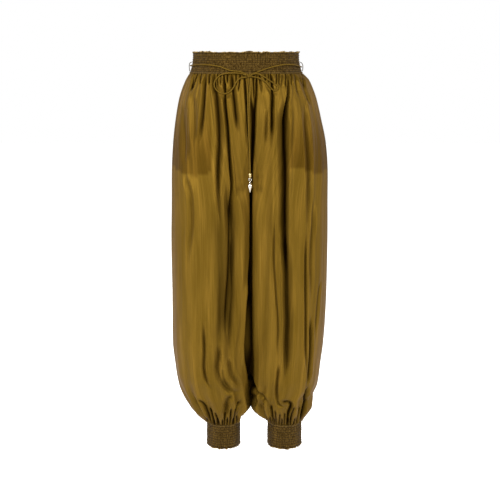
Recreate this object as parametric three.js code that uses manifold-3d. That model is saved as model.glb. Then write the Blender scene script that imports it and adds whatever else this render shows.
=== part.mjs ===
// Harem pants in silk satin, hollow, held at the waist as if worn.
// Millimetres, +Z up, front towards -Y. The origin is the middle of the waistband.
// "right" and "left" are the wearer's, so the right leg lies at -X.

import * as THREE from 'three';
import Module from 'manifold-3d';
import { mergeVertices } from 'three/addons/utils/BufferGeometryUtils.js';

// Driving sizes
const CLOTH = 2;
const SEAM_GAP = 0.3;
const WAIST_SEAM = -26;
const CROTCH = -400;
const CUFF_SEAM = -928;
const BLEND_TOP = -80;
const FULLNESS = 0.85;
const INNER_FULLNESS = 0.62;

const PANEL_COLUMNS = 42;
const PANEL_ROWS = [-26, -38, -60, -100, -170, -275, -400, -540, -700, -800, -850, -893, -928];
const WAIST_GATHERS = 14;
const CUFF_FOLDS = 7;
const CUFF_GATHERS = 14;

const PUCKER = 1.1;
const PLAIN_EVERY = 6;
const WAISTBAND = { columns: 50, top: 27, bottom: -25.7, rows: 9, frill: 6, wave: 1.6 };
const CUFF = { columns: 22, top: -928.3, bottom: -993, rows: 9, frill: 6, wave: 1.4 };

const POCKET = { firstColumn: 1, lastColumn: 22, firstRow: 2, lastRow: 5, gap: 0.4, cloth: 1 };

const CORD = { radius: 1.5, sides: 8 };
const THREAD = { radius: 0.9, sides: 6 };

// Route of the drawstring round the waist, from the knot by the right side and the back to the knot
const WAIST_ROUTE = [
  [2.6, -104.6, -27], [-14, -100.4, -21], [-38, -96.6, -18], [-63.2, -87.2, -9],
  [-87.4, -75.6, -5], [-112.5, -56.4, -4], [-132.8, -27.4, -6], [-138.8, 0, -7],
  [-130.8, 33.5, -8], [-106.8, 62.9, -9], [-70.4, 84.7, -10], [-24, 96.9, -11],
  [24, 96.9, -11], [70.4, 84.7, -10], [106.8, 62.9, -9], [131, 33.6, -9],
  [139.3, 0, -10], [134.8, -24, -9], [121.1, -47.1, -5], [95.5, -70.3, -4],
  [71.3, -83.9, -8], [46, -93.9, -15], [27, -99.6, -22.5], [13.6, -104.4, -26.6],
];

// Routes of the bow's two loops and of the two ends
const RIGHT_LOOP_ROUTE = [
  [1.9, -110, -28.8], [-12, -103, -25.2], [-33, -100.5, -24], [-53, -96.5, -26],
  [-63, -92.5, -30], [-72, -90.5, -38.5], [-77, -90.5, -49], [-75, -91.5, -60],
  [-67, -94.5, -69], [-57, -97.5, -73], [-47, -100.5, -73], [-36, -104.5, -66],
  [-29, -107, -57], [-24, -108, -47], [-16, -107, -38], [-6, -108, -34.8], [1.8, -109, -33.5],
];
const LEFT_LOOP_ROUTE = [
  [14.1, -109.8, -27.3], [27, -103.5, -25.5], [43, -104.5, -32.5], [56, -100.5, -41],
  [66, -99, -47.5], [74.8, -98.3, -54], [77.3, -98.3, -58.8], [75.6, -98.6, -64], [70.8, -99.2, -66.5],
  [65.6, -100, -64.8], [59, -101.4, -57.6], [49, -103.8, -46], [37, -106.3, -38.5], [24, -106.5, -34],
  [14.1, -109, -32.6],
];
const FRONT_END_ROUTE = [
  [6.5, -109, -36.3], [5, -109.6, -55], [4.8, -113, -72], [4.8, -115.9, -90], [5, -116.4, -109],
  [6.5, -117.4, -150], [8.5, -118.2, -207], [10, -118.5, -264.7],
];
const REAR_END_ROUTE = [
  [11, -109, -36], [10, -112.6, -60], [8.8, -115.5, -86], [8.3, -115, -109],
  [8, -112, -150], [9.2, -108.6, -207], [10.8, -106, -265.7],
];

const KNOT = { x: 8, y: -108.4, z: -30, width: 5.5, depth: 4.2, height: 5.5 };

// Loops of thread at the side seams that carry the drawstring
const RIGHT_THREAD_ROUTE = [
  [-133.8, -6, 2], [-138.5, -6, 1], [-141.3, -6, -3.5], [-141.7, -6, -8], [-141.5, -6, -15], [-141, -6, -21],
];
const LEFT_THREAD_ROUTE = [
  [133.8, -6, 2], [138.5, -6, 0], [141.6, -6, -5], [142.1, -6, -10], [141.8, -6, -16], [141, -6, -21],
];

// Metal at the cord's ends; each swings from the hole of its bead's eye
const BEAD = { radius: 3.75, length: 11 };
const EYE = { outer: 2.1, hole: 1.1, thickness: 1.2, drop: 1.5 };
const RING = { radius: 3.4, wire: 0.6 };
const CHARM = { radius: 6, length: 27, neck: 1.3, top: 1.4 };
const ENDS = [
  { name: 'front', x: 10, y: -118.5, z: -265 },
  { name: 'rear', x: 10.8, y: -106, z: -266 },
];

// Half width and half depth of the waistband, from its frilled top down to the seam
const WAIST_SECTIONS = [
  { z: 28, width: 133.5, depth: 94 },
  { z: 21, width: 131.5, depth: 92 },
  { z: 7, width: 132, depth: 92 },
  { z: -8, width: 134.5, depth: 93.5 },
  { z: -18, width: 137.5, depth: 96 },
  { z: -26, width: 140.5, depth: 98 },
];

// Outer edge of each leg and the depth of front and back, from the waist seam to the cuffs
const BODY_SECTIONS = [
  { z: -26, right: -141.5, left: 142.5, front: 98, back: 98 },
  { z: -33, right: -145, left: 149, front: 101, back: 102 },
  { z: -42, right: -150, left: 157, front: 104, back: 107 },
  { z: -67, right: -161, left: 169, front: 109, back: 116 },
  { z: -92, right: -169, left: 178, front: 114, back: 124 },
  { z: -142, right: -178, left: 190, front: 121, back: 135 },
  { z: -193, right: -184, left: 201, front: 126, back: 140 },
  { z: -256, right: -188, left: 207, front: 129, back: 140 },
  { z: -346, right: -189, left: 208, front: 129, back: 136 },
  { z: -450, right: -191, left: 209, front: 127, back: 131 },
  { z: -607, right: -190, left: 207, front: 124, back: 126 },
  { z: -713, right: -190, left: 201, front: 122, back: 121 },
  { z: -767, right: -185, left: 194, front: 116, back: 117 },
  { z: -798, right: -181, left: 191, front: 113, back: 115 },
  { z: -824, right: -175, left: 186, front: 105, back: 109 },
  { z: -850, right: -163, left: 173, front: 97, back: 99 },
  { z: -876, right: -148, left: 169, front: 85, back: 87 },
  { z: -902, right: -131, left: 161, front: 70, back: 72 },
  { z: -915, right: -118, left: 153, front: 61, back: 62 },
  { z: -928, right: -103, left: 145, front: 52, back: 52 },
];

// Middle line between the legs
const MIDDLE = [
  { z: -26, x: 2 },
  { z: -60, x: 8 },
  { z: -110, x: 15 },
  { z: -150, x: 18 },
  { z: -215, x: 18 },
  { z: -270, x: 14.5 },
  { z: -330, x: 12.4 },
  { z: -400, x: 12 },
  { z: -500, x: 12 },
];

// Inner edge of each leg below the crotch
const INSEAM = [
  { z: -400, right: 11.85, left: 12.15 },
  { z: -500, right: 11.6, left: 12.4 },
  { z: -866, right: 11.4, left: 12.6 },
  { z: -876, right: 11.2, left: 12.8 },
  { z: -886, right: 8, left: 15.5 },
  { z: -895, right: 2, left: 20 },
  { z: -904, right: -5.5, left: 28 },
  { z: -912, right: -12, left: 37 },
  { z: -920, right: -16, left: 48 },
  { z: -928, right: -17, left: 57 },
];

// Long folds of the front: the valley runs through the x values, spaced evenly from top to bottom
const FRONT_FOLDS = [
  { top: -26, bottom: -170, x: [-96, -101, -108], width: 7, depth: 7 },
  { top: -26, bottom: -420, x: [-76, -70, -70, -64], width: 9, depth: 11 },
  { top: -26, bottom: -700, x: [-53, -49, -40, -35, -39, -47, -52], width: 10, depth: 16 },
  { top: -250, bottom: -790, x: [-47, -43, -48, -55, -54], width: 15, depth: 9 },
  { top: -26, bottom: -180, x: [-32, -28, -24], width: 7, depth: 9 },
  { top: -26, bottom: -300, x: [-3, 1, 7], width: 8, depth: 10 },
  { top: -26, bottom: -260, x: [27, 21, 15], width: 9, depth: 14 },
  { top: -26, bottom: -240, x: [64, 65, 62], width: 8, depth: 9 },
  { top: -26, bottom: -840, x: [101, 99, 93, 92, 94, 100, 104, 98], width: 14, depth: 18 },
  { top: -60, bottom: -790, x: [142, 154, 154, 150, 149, 150, 156], width: 13, depth: 8 },
  { top: -190, bottom: -620, x: [183, 187, 185], width: 7, depth: 4 },
  { top: -370, bottom: -800, x: [70, 68, 76, 81, 84], width: 11, depth: 8 },
  { top: -370, bottom: -760, x: [171, 164, 160, 159], width: 9, depth: 7 },
  { top: -270, bottom: -500, x: [-145, -136, -143], width: 10, depth: 6 },
  { top: -570, bottom: -800, x: [2, -3, -4, 2], width: 9, depth: 13 },
];

// Folds that sweep sideways as the full leg drops over the cuff: points of the valley, then its size
const FRONT_SWEEPS = [
  { route: [[-70, -700], [-74, -757], [-68, -785], [-47, -811], [-14, -822]], width: 9, depth: 9 },
  { route: [[-110, -660], [-105, -741], [-93, -797], [-76, -812]], width: 8, depth: 8 },
  { route: [[-42, -740], [-33, -785], [-10, -806]], width: 8, depth: 7 },
  { route: [[-132, -836], [-112, -866], [-96, -893]], width: 7, depth: 7 },
  { route: [[-118, -842], [-100, -866], [-88, -884]], width: 6, depth: 6 },
  { route: [[-88, -866], [-78, -905]], width: 6, depth: 6 },
  { route: [[-12, -842], [-27, -868], [-29, -900]], width: 6, depth: 8 },
  { route: [[80, -736], [76, -785], [77, -842], [90, -854], [104, -851]], width: 7, depth: 8 },
  { route: [[80, -838], [112, -850], [110, -880], [100, -902]], width: 7, depth: 8 },
  { route: [[159, -628], [159, -700], [157, -760], [148, -815]], width: 7, depth: 8 },
  { route: [[154, -811], [147, -842], [138, -890]], width: 7, depth: 9 },
  { route: [[12, -780], [31, -829], [47, -840], [60, -866]], width: 8, depth: 8 },
];

// Long folds of the back, alike but not mirrored
const BACK_FOLDS = [
  { top: -26, bottom: -260, x: [-108, -112, -118], width: 8, depth: 7 },
  { top: -26, bottom: -520, x: [-84, -90, -80, -86], width: 12, depth: 12 },
  { top: -26, bottom: -760, x: [-44, -50, -46, -38, -48, -52], width: 12, depth: 16 },
  { top: -26, bottom: -210, x: [-18, -14, -16], width: 8, depth: 9 },
  { top: -26, bottom: -280, x: [34, 42, 38], width: 9, depth: 10 },
  { top: -26, bottom: -800, x: [72, 80, 88, 78, 84, 90], width: 14, depth: 16 },
  { top: -26, bottom: -240, x: [110, 116, 112], width: 8, depth: 7 },
  { top: -90, bottom: -700, x: [142, 150, 146, 152], width: 12, depth: 9 },
  { top: -330, bottom: -820, x: [-120, -128, -118, -112], width: 12, depth: 9 },
  { top: -420, bottom: -820, x: [118, 124, 116], width: 11, depth: 8 },
];

const BACK_SWEEPS = [
  { route: [[-70, -640], [-82, -720], [-66, -790], [-34, -836]], width: 11, depth: 10 },
  { route: [[-128, -700], [-118, -790], [-84, -840]], width: 9, depth: 8 },
  { route: [[-40, -770], [-20, -820], [0, -846]], width: 8, depth: 7 },
  { route: [[-100, -850], [-86, -884], [-78, -912]], width: 7, depth: 7 },
  { route: [[96, -690], [104, -770], [86, -830], [70, -858]], width: 10, depth: 10 },
  { route: [[150, -640], [158, -760], [142, -850], [132, -890]], width: 8, depth: 8 },
  { route: [[36, -740], [44, -810], [68, -850]], width: 9, depth: 8 },
  { route: [[22, -826], [44, -856], [60, -898]], width: 8, depth: 8 },
];

const SIDES = [
  { name: 'right', sign: -1 },
  { name: 'left', sign: 1 },
];

const FACES = [
  { name: 'front', sign: -1, folds: FRONT_FOLDS, sweeps: FRONT_SWEEPS },
  { name: 'back', sign: 1, folds: BACK_FOLDS, sweeps: BACK_SWEEPS },
];

// Materials
function finish(color, roughness, metalness) {
  return new THREE.MeshStandardMaterial({ color, roughness, metalness });
}

const SATIN = () => finish(0x705521, 0.45, 0);
const SATIN_BAND = () => finish(0x594627, 0.5, 0);
const SATIN_POCKET = () => finish(0x4f3b16, 0.6, 0);
const SATIN_CORD = () => finish(0x6b5530, 0.5, 0);
const GOLD = () => finish(0xc9b37a, 0.3, 1);
const SILVER = () => finish(0xc8c2b4, 0.25, 1);

// Small functions of shape
function smooth(t) {
  const s = Math.min(Math.max(t, 0), 1);
  return s * s * (3 - 2 * s);
}

function mix(a, b, t) {
  return a + (b - a) * t;
}

// A smooth curve through evenly spaced values
function through(values, t) {
  const last = values.length - 1;
  const place = Math.min(Math.max(t, 0), 1) * last;
  const i = Math.min(Math.floor(place), last - 1);
  const f = place - i;
  const p1 = values[i];
  const p2 = values[i + 1];
  const p0 = i > 0 ? values[i - 1] : 2 * p1 - p2;
  const p3 = i < last - 1 ? values[i + 2] : 2 * p2 - p1;
  const curve = 2 * p1 + (p2 - p0) * f + (2 * p0 - 5 * p1 + 4 * p2 - p3) * f * f;
  return 0.5 * (curve + (3 * p1 - p0 - 3 * p2 + p3) * f * f * f);
}

// One column of a table at height z, with smooth slopes between its rows
function at(table, column, z) {
  let i = 0;
  while (i < table.length - 2 && z < table[i + 1].z) {
    i += 1;
  }
  const above = table[Math.max(i - 1, 0)];
  const a = table[i];
  const b = table[i + 1];
  const below = table[Math.min(i + 2, table.length - 1)];
  const step = b.z - a.z;
  const t = Math.min(Math.max((z - a.z) / step, 0), 1);
  const slopeA = (step * (b[column] - above[column])) / (b.z - above.z);
  const slopeB = (step * (below[column] - a[column])) / (below.z - a.z);
  const change = b[column] - a[column];
  const square = t * t;
  const cube = square * t;
  return a[column] + slopeA * (t - 2 * square + cube) + slopeB * (cube - square) + change * (3 * square - 2 * cube);
}

// Body and legs
// How far the section has turned from half a torso into a whole leg
function legShare(z) {
  return smooth((BLEND_TOP - z) / (BLEND_TOP - CROTCH));
}

function middle(z) {
  return at(MIDDLE, 'x', z);
}

// Smooth section of one panel: u runs from the side seam (0) to the centre seam or inseam (1)
function sectionPoint(side, face, u, z) {
  const outer = at(BODY_SECTIONS, side.name, z);
  const depth = at(BODY_SECTIONS, face.name, z);
  const centre = middle(z);
  const inner = z < CROTCH ? at(INSEAM, side.name, z) : centre;
  const share = legShare(z);
  const quarter = (u * Math.PI) / 2;
  const half = u * Math.PI;
  const torsoX = centre + (outer - centre) * Math.cos(quarter);
  const torsoY = depth * Math.sin(quarter);
  const across = Math.sign(Math.cos(half)) * Math.abs(Math.cos(half)) ** FULLNESS;
  const legX = (outer + inner) / 2 + ((outer - inner) / 2) * across;
  const fullness = mix(FULLNESS, INNER_FULLNESS, smooth(2 * u - 1));
  const legY = depth * Math.abs(Math.sin(half)) ** fullness;
  return [mix(torsoX, legX, share), face.sign * mix(torsoY, legY, share)];
}

// Level direction that points out of the cloth
function outward(side, face, u, z) {
  const step = 0.004;
  const [x1, y1] = sectionPoint(side, face, Math.max(u - step, 0), z);
  const [x2, y2] = sectionPoint(side, face, Math.min(u + step, 1), z);
  const length = Math.hypot(x2 - x1, y2 - y1);
  const turn = side.sign * face.sign;
  return [(-turn * (y1 - y2)) / length, (-turn * (x2 - x1)) / length];
}

function foldDepth(folds, x, z) {
  let sum = 0;
  for (const fold of folds) {
    const t = (fold.top - z) / (fold.top - fold.bottom);
    if (t >= 0 && t <= 1) {
      const away = (x - through(fold.x, t)) / fold.width;
      const open = smooth(t / 0.12 + (fold.top === WAIST_SEAM ? 0.35 : 0));
      sum += fold.depth * Math.exp(-away * away) * open * smooth((1 - t) / 0.3);
    }
  }
  return sum;
}

// Nearest distance to a route's straight runs, and how far along the route that is
function alongRoute(route, x, z) {
  let best = { away: Infinity, t: 0 };
  for (let i = 0; i < route.length - 1; i += 1) {
    const [ax, az] = route[i];
    const dx = route[i + 1][0] - ax;
    const dz = route[i + 1][1] - az;
    const f = Math.min(Math.max(((x - ax) * dx + (z - az) * dz) / (dx * dx + dz * dz), 0), 1);
    const away = Math.hypot(x - ax - f * dx, z - az - f * dz);
    if (away < best.away) {
      best = { away, t: (i + f) / (route.length - 1) };
    }
  }
  return best;
}

function sweepDepth(sweeps, x, z) {
  let sum = 0;
  for (const sweep of sweeps) {
    const { away, t } = alongRoute(sweep.route, x, z);
    const across = away / sweep.width;
    sum += sweep.depth * Math.exp(-across * across) * smooth(t / 0.3 + 0.15) * smooth((1 - t) / 0.3 + 0.15);
  }
  return sum;
}

// Gathers let out of the waist seam and drawn into the cuffs, as a swell of the cloth
function gatherSwell(u, z) {
  const waist = 1.6 + 2.6 * smooth((WAIST_SEAM - z) / 22);
  const waistFade = smooth((z + 125) / 75);
  const cuff = 1.4 + 1.6 * smooth((z - CUFF_SEAM) / 25);
  const cuffFade = smooth((-874 - z) / 45);
  const broad = 6 * smooth((z - CUFF_SEAM) / 45) * smooth((-790 - z) / 60);
  const waves = waist * waistFade * Math.cos(2 * Math.PI * (WAIST_GATHERS * u + 0.5));
  const drawn = cuff * cuffFade * Math.cos(2 * Math.PI * (CUFF_GATHERS * u + 0.5));
  return waves + drawn + broad * Math.cos(2 * Math.PI * (CUFF_FOLDS * u + 0.5));
}

function panelSwell(side, face, u, z) {
  const [x] = sectionPoint(side, face, u, z);
  const sideFade = smooth(u / 0.06);
  const middleFade = mix(smooth((1 - u) / 0.04), smooth((1 - u) / 0.2), legShare(z));
  const valleys = foldDepth(face.folds, x, z) + sweepDepth(face.sweeps, x, z);
  return sideFade * middleFade * (gatherSwell(u, z) - valleys);
}

// A point of the panel, let in by the given distance from its outer face
function panelPoint(side, face, u, z, inside) {
  const [x, y] = sectionPoint(side, face, u, z);
  const half = SEAM_GAP / 2;
  if (u === 0) {
    return new THREE.Vector3(x - side.sign * inside, face.sign * half, z);
  }
  if (u === 1 && z >= CROTCH) {
    const seam = Math.max(Math.abs(y), half + CLOTH);
    return new THREE.Vector3(middle(z) + side.sign * half, face.sign * (seam - inside), z);
  }
  if (u === 1) {
    return new THREE.Vector3(x + side.sign * inside, face.sign * half, z);
  }
  const [nx, ny] = outward(side, face, u, z);
  const move = panelSwell(side, face, u, z) - inside;
  return new THREE.Vector3(x + nx * move, y + ny * move, z);
}

// Meshes
function geometryOf(points, triangles) {
  let volume = 0;
  for (const [a, b, c] of triangles) {
    volume += points[a].dot(new THREE.Vector3().crossVectors(points[b], points[c]));
  }
  const geometry = new THREE.BufferGeometry();
  geometry.setAttribute('position', new THREE.Float32BufferAttribute(points.flatMap((p) => [p.x, p.y, p.z]), 3));
  geometry.setIndex(triangles.flatMap(([a, b, c]) => (volume > 0 ? [a, b, c] : [a, c, b])));
  geometry.computeVertexNormals();
  return geometry;
}

// Two triangles for each square between two rows of point numbers
function strip(upper, lower, round) {
  const triangles = [];
  const last = round ? upper.length : upper.length - 1;
  for (let i = 0; i < last; i += 1) {
    const j = (i + 1) % upper.length;
    triangles.push([upper[i], lower[i], lower[j]]);
    triangles.push([upper[i], lower[j], upper[j]]);
  }
  return triangles;
}

// A closed wall between an outer and an inner set of rows; a round wall is a tube
function wall(outerRows, innerRows, round) {
  const points = [];
  const numbered = (rows) => rows.map((row) => row.map((p) => points.push(p) - 1));
  const outer = numbered(outerRows);
  const inner = numbered(innerRows);
  const triangles = [];
  for (let r = 0; r < outer.length - 1; r += 1) {
    triangles.push(...strip(outer[r], outer[r + 1], round));
  }
  const innerFaces = [];
  for (let r = 0; r < inner.length - 1; r += 1) {
    innerFaces.push(...strip(inner[r], inner[r + 1], round));
  }
  triangles.push(...innerFaces.map(([a, b, c]) => [a, c, b]));
  triangles.push(...strip(inner[0], outer[0], round));
  triangles.push(...strip(outer[outer.length - 1], inner[inner.length - 1], round));
  if (!round) {
    const first = (rows) => rows.map((row) => row[0]);
    const final = (rows) => rows.map((row) => row[row.length - 1]);
    triangles.push(...strip(first(outer), first(inner), false));
    triangles.push(...strip(final(inner), final(outer), false));
  }
  return geometryOf(points, triangles);
}

function panel(side, face) {
  const columns = Array.from({ length: PANEL_COLUMNS + 1 }, (_, i) => i / PANEL_COLUMNS);
  const rows = (inside) => PANEL_ROWS.map((z) => columns.map((u) => panelPoint(side, face, u, z, inside)));
  return wall(rows(0), rows(CLOTH), false);
}

// The pocket bag hangs flat behind the front, so it is made from the front's own points, moved in
function pocketBag(side) {
  const columns = [];
  for (let i = POCKET.firstColumn; i <= POCKET.lastColumn; i += 1) {
    columns.push(i / PANEL_COLUMNS);
  }
  const levels = PANEL_ROWS.slice(POCKET.firstRow, POCKET.lastRow + 1);
  const rows = (inside) => levels.map((z) => columns.map((u) => panelPoint(side, FACES[0], u, z, inside)));
  const outside = CLOTH + POCKET.gap;
  return wall(rows(outside), rows(outside + POCKET.cloth), false);
}

// Smocked tubes
// Rows of puckers between the elastic rows, then a frill that stands free of them
function smockRows(size, frillUp) {
  const bodyTop = frillUp ? size.top - size.frill : size.top;
  const bodyBottom = frillUp ? size.bottom : size.bottom + size.frill;
  const rows = [];
  const steps = size.rows * 2;
  for (let k = 0; k <= steps; k += 1) {
    const z = mix(bodyTop, bodyBottom, k / steps);
    rows.push({ z, level: k, puff: k % 2 === 1, row: (k - 1) / 2, wave: 0 });
  }
  const edge = { z: frillUp ? size.top : size.bottom, level: 0, puff: false, row: 0, wave: size.wave };
  return frillUp ? [edge, ...rows] : [...rows, edge];
}

function smockedTube(size, frillUp, ring) {
  const rows = smockRows(size, frillUp);
  const outer = rows.map((row) => {
    const points = [];
    for (let i = 0; i < size.columns; i += 1) {
      const even = (i + (row.puff ? row.row : 0)) % 2 === 0;
      const puff = row.puff ? (even ? PUCKER : PUCKER * 0.4) : 0;
      const wave = even ? row.wave : -row.wave;
      points.push(ring((i / size.columns) * 2 * Math.PI, row.z, puff + wave));
    }
    return points;
  });
  const plain = rows.filter((row, r) => r === 0 || r === rows.length - 1 || row.level % PLAIN_EVERY === 0);
  const inner = plain.map((row) => {
    const points = [];
    for (let i = 0; i < size.columns; i += 1) {
      const wave = i % 2 === 0 ? row.wave : -row.wave;
      points.push(ring((i / size.columns) * 2 * Math.PI, row.z, wave - CLOTH));
    }
    return points;
  });
  return wall(outer, inner, true);
}

function waistRing(angle, z, swell) {
  const width = at(WAIST_SECTIONS, 'width', z) + swell;
  const depth = at(WAIST_SECTIONS, 'depth', z) + swell;
  return new THREE.Vector3(width * Math.cos(angle), depth * Math.sin(angle), z);
}

function cuffRing(side) {
  const top = CUFF_SEAM;
  const outer = at(BODY_SECTIONS, side.name, top);
  const inner = at(INSEAM, side.name, top);
  const depth = at(BODY_SECTIONS, 'front', top);
  const halfWidth = Math.abs(outer - inner) / 2;
  return (angle, z, swell) => {
    const flare = 1.5 * smooth((CUFF.bottom + 12 - z) / 12);
    const reach = swell + flare;
    const x = (outer + inner) / 2 + (halfWidth + reach) * Math.cos(angle);
    return new THREE.Vector3(x, (depth + reach) * Math.sin(angle), z);
  };
}

// Cords
function circle(radius, sides) {
  const points = [];
  for (let i = 0; i < sides; i += 1) {
    const angle = (i / sides) * 2 * Math.PI;
    points.push(new THREE.Vector2(radius * Math.cos(angle), radius * Math.sin(angle)));
  }
  return new THREE.Shape(points);
}

function cord(route, steps, size) {
  const path = new THREE.CatmullRomCurve3(route.map(([x, y, z]) => new THREE.Vector3(x, y, z)));
  const geometry = new THREE.ExtrudeGeometry(circle(size.radius, size.sides), {
    steps,
    extrudePath: path,
    bevelEnabled: false,
  });
  return geometry;
}

// Metal
function lathe(profile, segments) {
  const points = profile.map(([radius, z]) => new THREE.Vector2(radius, z));
  const geometry = new THREE.LatheGeometry(points, segments);
  geometry.rotateX(Math.PI / 2);
  return geometry;
}

// A flat eye whose hole runs along X, so a ring lying across it can swing
function eye(outerRadius, holeRadius, thickness, z) {
  const shape = circle(outerRadius, 14);
  shape.holes.push(circle(holeRadius, 12));
  const geometry = new THREE.ExtrudeGeometry(shape, { depth: thickness, bevelEnabled: false });
  geometry.translate(0, 0, -thickness / 2);
  geometry.rotateY(Math.PI / 2);
  geometry.translate(0, 0, z);
  return geometry;
}

const wasm = await Module();
wasm.setup();

function solid(geometry) {
  const bare = geometry.clone();
  bare.deleteAttribute('normal');
  bare.deleteAttribute('uv');
  const merged = mergeVertices(bare, 1e-4);
  return new wasm.Manifold(new wasm.Mesh({
    numProp: 3,
    vertProperties: new Float32Array(merged.attributes.position.array),
    triVerts: new Uint32Array(merged.index.array),
  }));
}

function joined(a, b) {
  const mesh = solid(a).add(solid(b)).getMesh();
  const geometry = new THREE.BufferGeometry();
  geometry.setAttribute('position', new THREE.Float32BufferAttribute(mesh.vertProperties, 3));
  geometry.setIndex(Array.from(mesh.triVerts));
  geometry.computeVertexNormals();
  return geometry;
}

const pants = new THREE.Group();

function add(name, geometry, material) {
  const mesh = new THREE.Mesh(geometry, material);
  mesh.name = name;
  pants.add(mesh);
  return mesh;
}

add('waistband', smockedTube(WAISTBAND, true, waistRing), SATIN_BAND());

for (const side of SIDES) {
  for (const face of FACES) {
    add(`${face.name}_${side.name}`, panel(side, face), SATIN());
  }
  add(`pocket_bag_${side.name}`, pocketBag(side), SATIN_POCKET());
  add(`cuff_${side.name}`, smockedTube(CUFF, false, cuffRing(side)), SATIN_BAND());
}

add('thread_loop_right', cord(RIGHT_THREAD_ROUTE, 9, THREAD), SATIN_CORD());
add('thread_loop_left', cord(LEFT_THREAD_ROUTE, 9, THREAD), SATIN_CORD());

add('drawstring_waist', cord(WAIST_ROUTE, 50, CORD), SATIN_CORD());
add('bow_loop_right', cord(RIGHT_LOOP_ROUTE, 18, CORD), SATIN_CORD());
add('bow_loop_left', cord(LEFT_LOOP_ROUTE, 16, CORD), SATIN_CORD());
add('cord_end_front', cord(FRONT_END_ROUTE, 8, CORD), SATIN_CORD());
add('cord_end_rear', cord(REAR_END_ROUTE, 8, CORD), SATIN_CORD());

const knotShape = new THREE.SphereGeometry(1, 12, 8);
knotShape.scale(KNOT.width, KNOT.depth, KNOT.height);
add('bow_knot', knotShape, SATIN_CORD()).position.set(KNOT.x, KNOT.y, KNOT.z);

// A rounded bead closed over the cord's end, with a flat eye below it
function beadGeometry() {
  const { radius, length } = BEAD;
  const barrel = lathe([
    [0, 0],
    [radius * 0.72, 0],
    [radius * 0.96, -length * 0.2],
    [radius, -length * 0.5],
    [radius * 0.92, -length * 0.8],
    [radius * 0.55, -length],
    [0, -length],
  ].reverse(), 14);
  return joined(barrel, eye(EYE.outer, EYE.hole, EYE.thickness, -length - EYE.drop));
}

// A spindle, widest near its shoulder, with its own eye
function charmGeometry() {
  const { radius, length, neck, top } = CHARM;
  const spindle = lathe([
    [0, -top],
    [neck, -top],
    [neck * 1.5, -top - length * 0.08],
    [radius * 0.8, -top - length * 0.24],
    [radius, -top - length * 0.38],
    [radius * 0.86, -top - length * 0.52],
    [radius * 0.42, -top - length * 0.76],
    [radius * 0.15, -top - length * 0.94],
    [0, -top - length],
  ].reverse(), 14);
  return joined(spindle, eye(EYE.outer, EYE.hole, EYE.thickness, 0));
}

for (const end of ENDS) {
  const hinge = end.z - BEAD.length - EYE.drop;
  add(`end_bead_${end.name}`, beadGeometry(), GOLD()).position.set(end.x, end.y, end.z);
  const ring = new THREE.TorusGeometry(RING.radius, RING.wire, 6, 18);
  ring.rotateX(Math.PI / 2);
  add(`ring_${end.name}`, ring, SILVER()).position.set(end.x, end.y, hinge - RING.radius);
  add(`charm_${end.name}`, charmGeometry(), SILVER()).position.set(end.x, end.y, hinge - 2 * RING.radius);
}

export default pants;
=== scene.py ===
import math

import bpy
import numpy as np
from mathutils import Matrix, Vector


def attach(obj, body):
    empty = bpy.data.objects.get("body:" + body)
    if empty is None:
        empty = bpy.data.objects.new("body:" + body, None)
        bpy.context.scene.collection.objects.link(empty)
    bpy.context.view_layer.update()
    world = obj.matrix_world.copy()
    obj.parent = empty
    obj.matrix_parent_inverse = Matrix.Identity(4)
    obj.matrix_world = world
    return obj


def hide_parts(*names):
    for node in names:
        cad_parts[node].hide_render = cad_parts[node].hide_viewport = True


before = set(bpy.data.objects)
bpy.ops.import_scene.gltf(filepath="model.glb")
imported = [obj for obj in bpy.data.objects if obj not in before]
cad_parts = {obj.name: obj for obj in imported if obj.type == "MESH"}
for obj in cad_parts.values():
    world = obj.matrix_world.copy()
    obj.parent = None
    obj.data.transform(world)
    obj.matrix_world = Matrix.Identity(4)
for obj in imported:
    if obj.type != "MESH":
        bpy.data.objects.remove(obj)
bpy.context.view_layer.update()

MM = 0.001
PI = math.pi


def linked(name, data):
    """A new object of the scene, with its data."""
    made = bpy.data.objects.new(name, data)
    bpy.context.scene.collection.objects.link(made)
    return made


# Camera
CAMERA_PLACE = (0.010, -2.8, 0.0)
CAMERA_TILT_DOWN = math.radians(9.63)
SENSOR = 36.0
FOCAL_PIXELS = 1103.0
PHOTO_PIXELS = 500.0

lens = bpy.data.cameras.new("camera")
camera = linked("camera", lens)
camera.location = CAMERA_PLACE
camera.rotation_euler = (PI / 2 - CAMERA_TILT_DOWN, 0, 0)
lens.sensor_width = SENSOR
lens.lens = FOCAL_PIXELS / PHOTO_PIXELS * SENSOR
lens.clip_end = 50
bpy.context.scene.camera = camera


# Small functions of shape
LATTICE = 64


def smooth(t):
    """A soft step from 0 to 1."""
    s = np.clip(t, 0.0, 1.0)
    return s * s * (3 - 2 * s)


def mix(a, b, t):
    return a + (b - a) * t


def noise(a, b, seed):
    """Soft wandering values from -1 to 1 over two coordinates, one lump for each unit."""
    a, b = np.broadcast_arrays(np.asarray(a, float), np.asarray(b, float))
    lattice = np.random.default_rng(seed).uniform(-1, 1, (LATTICE, LATTICE))
    i, j = np.floor(a).astype(int), np.floor(b).astype(int)
    f, g = smooth(a - i), smooth(b - j)
    i, j, i1, j1 = i % LATTICE, j % LATTICE, (i + 1) % LATTICE, (j + 1) % LATTICE
    return mix(mix(lattice[i, j], lattice[i1, j], f), mix(lattice[i, j1], lattice[i1, j1], f), g)


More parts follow.
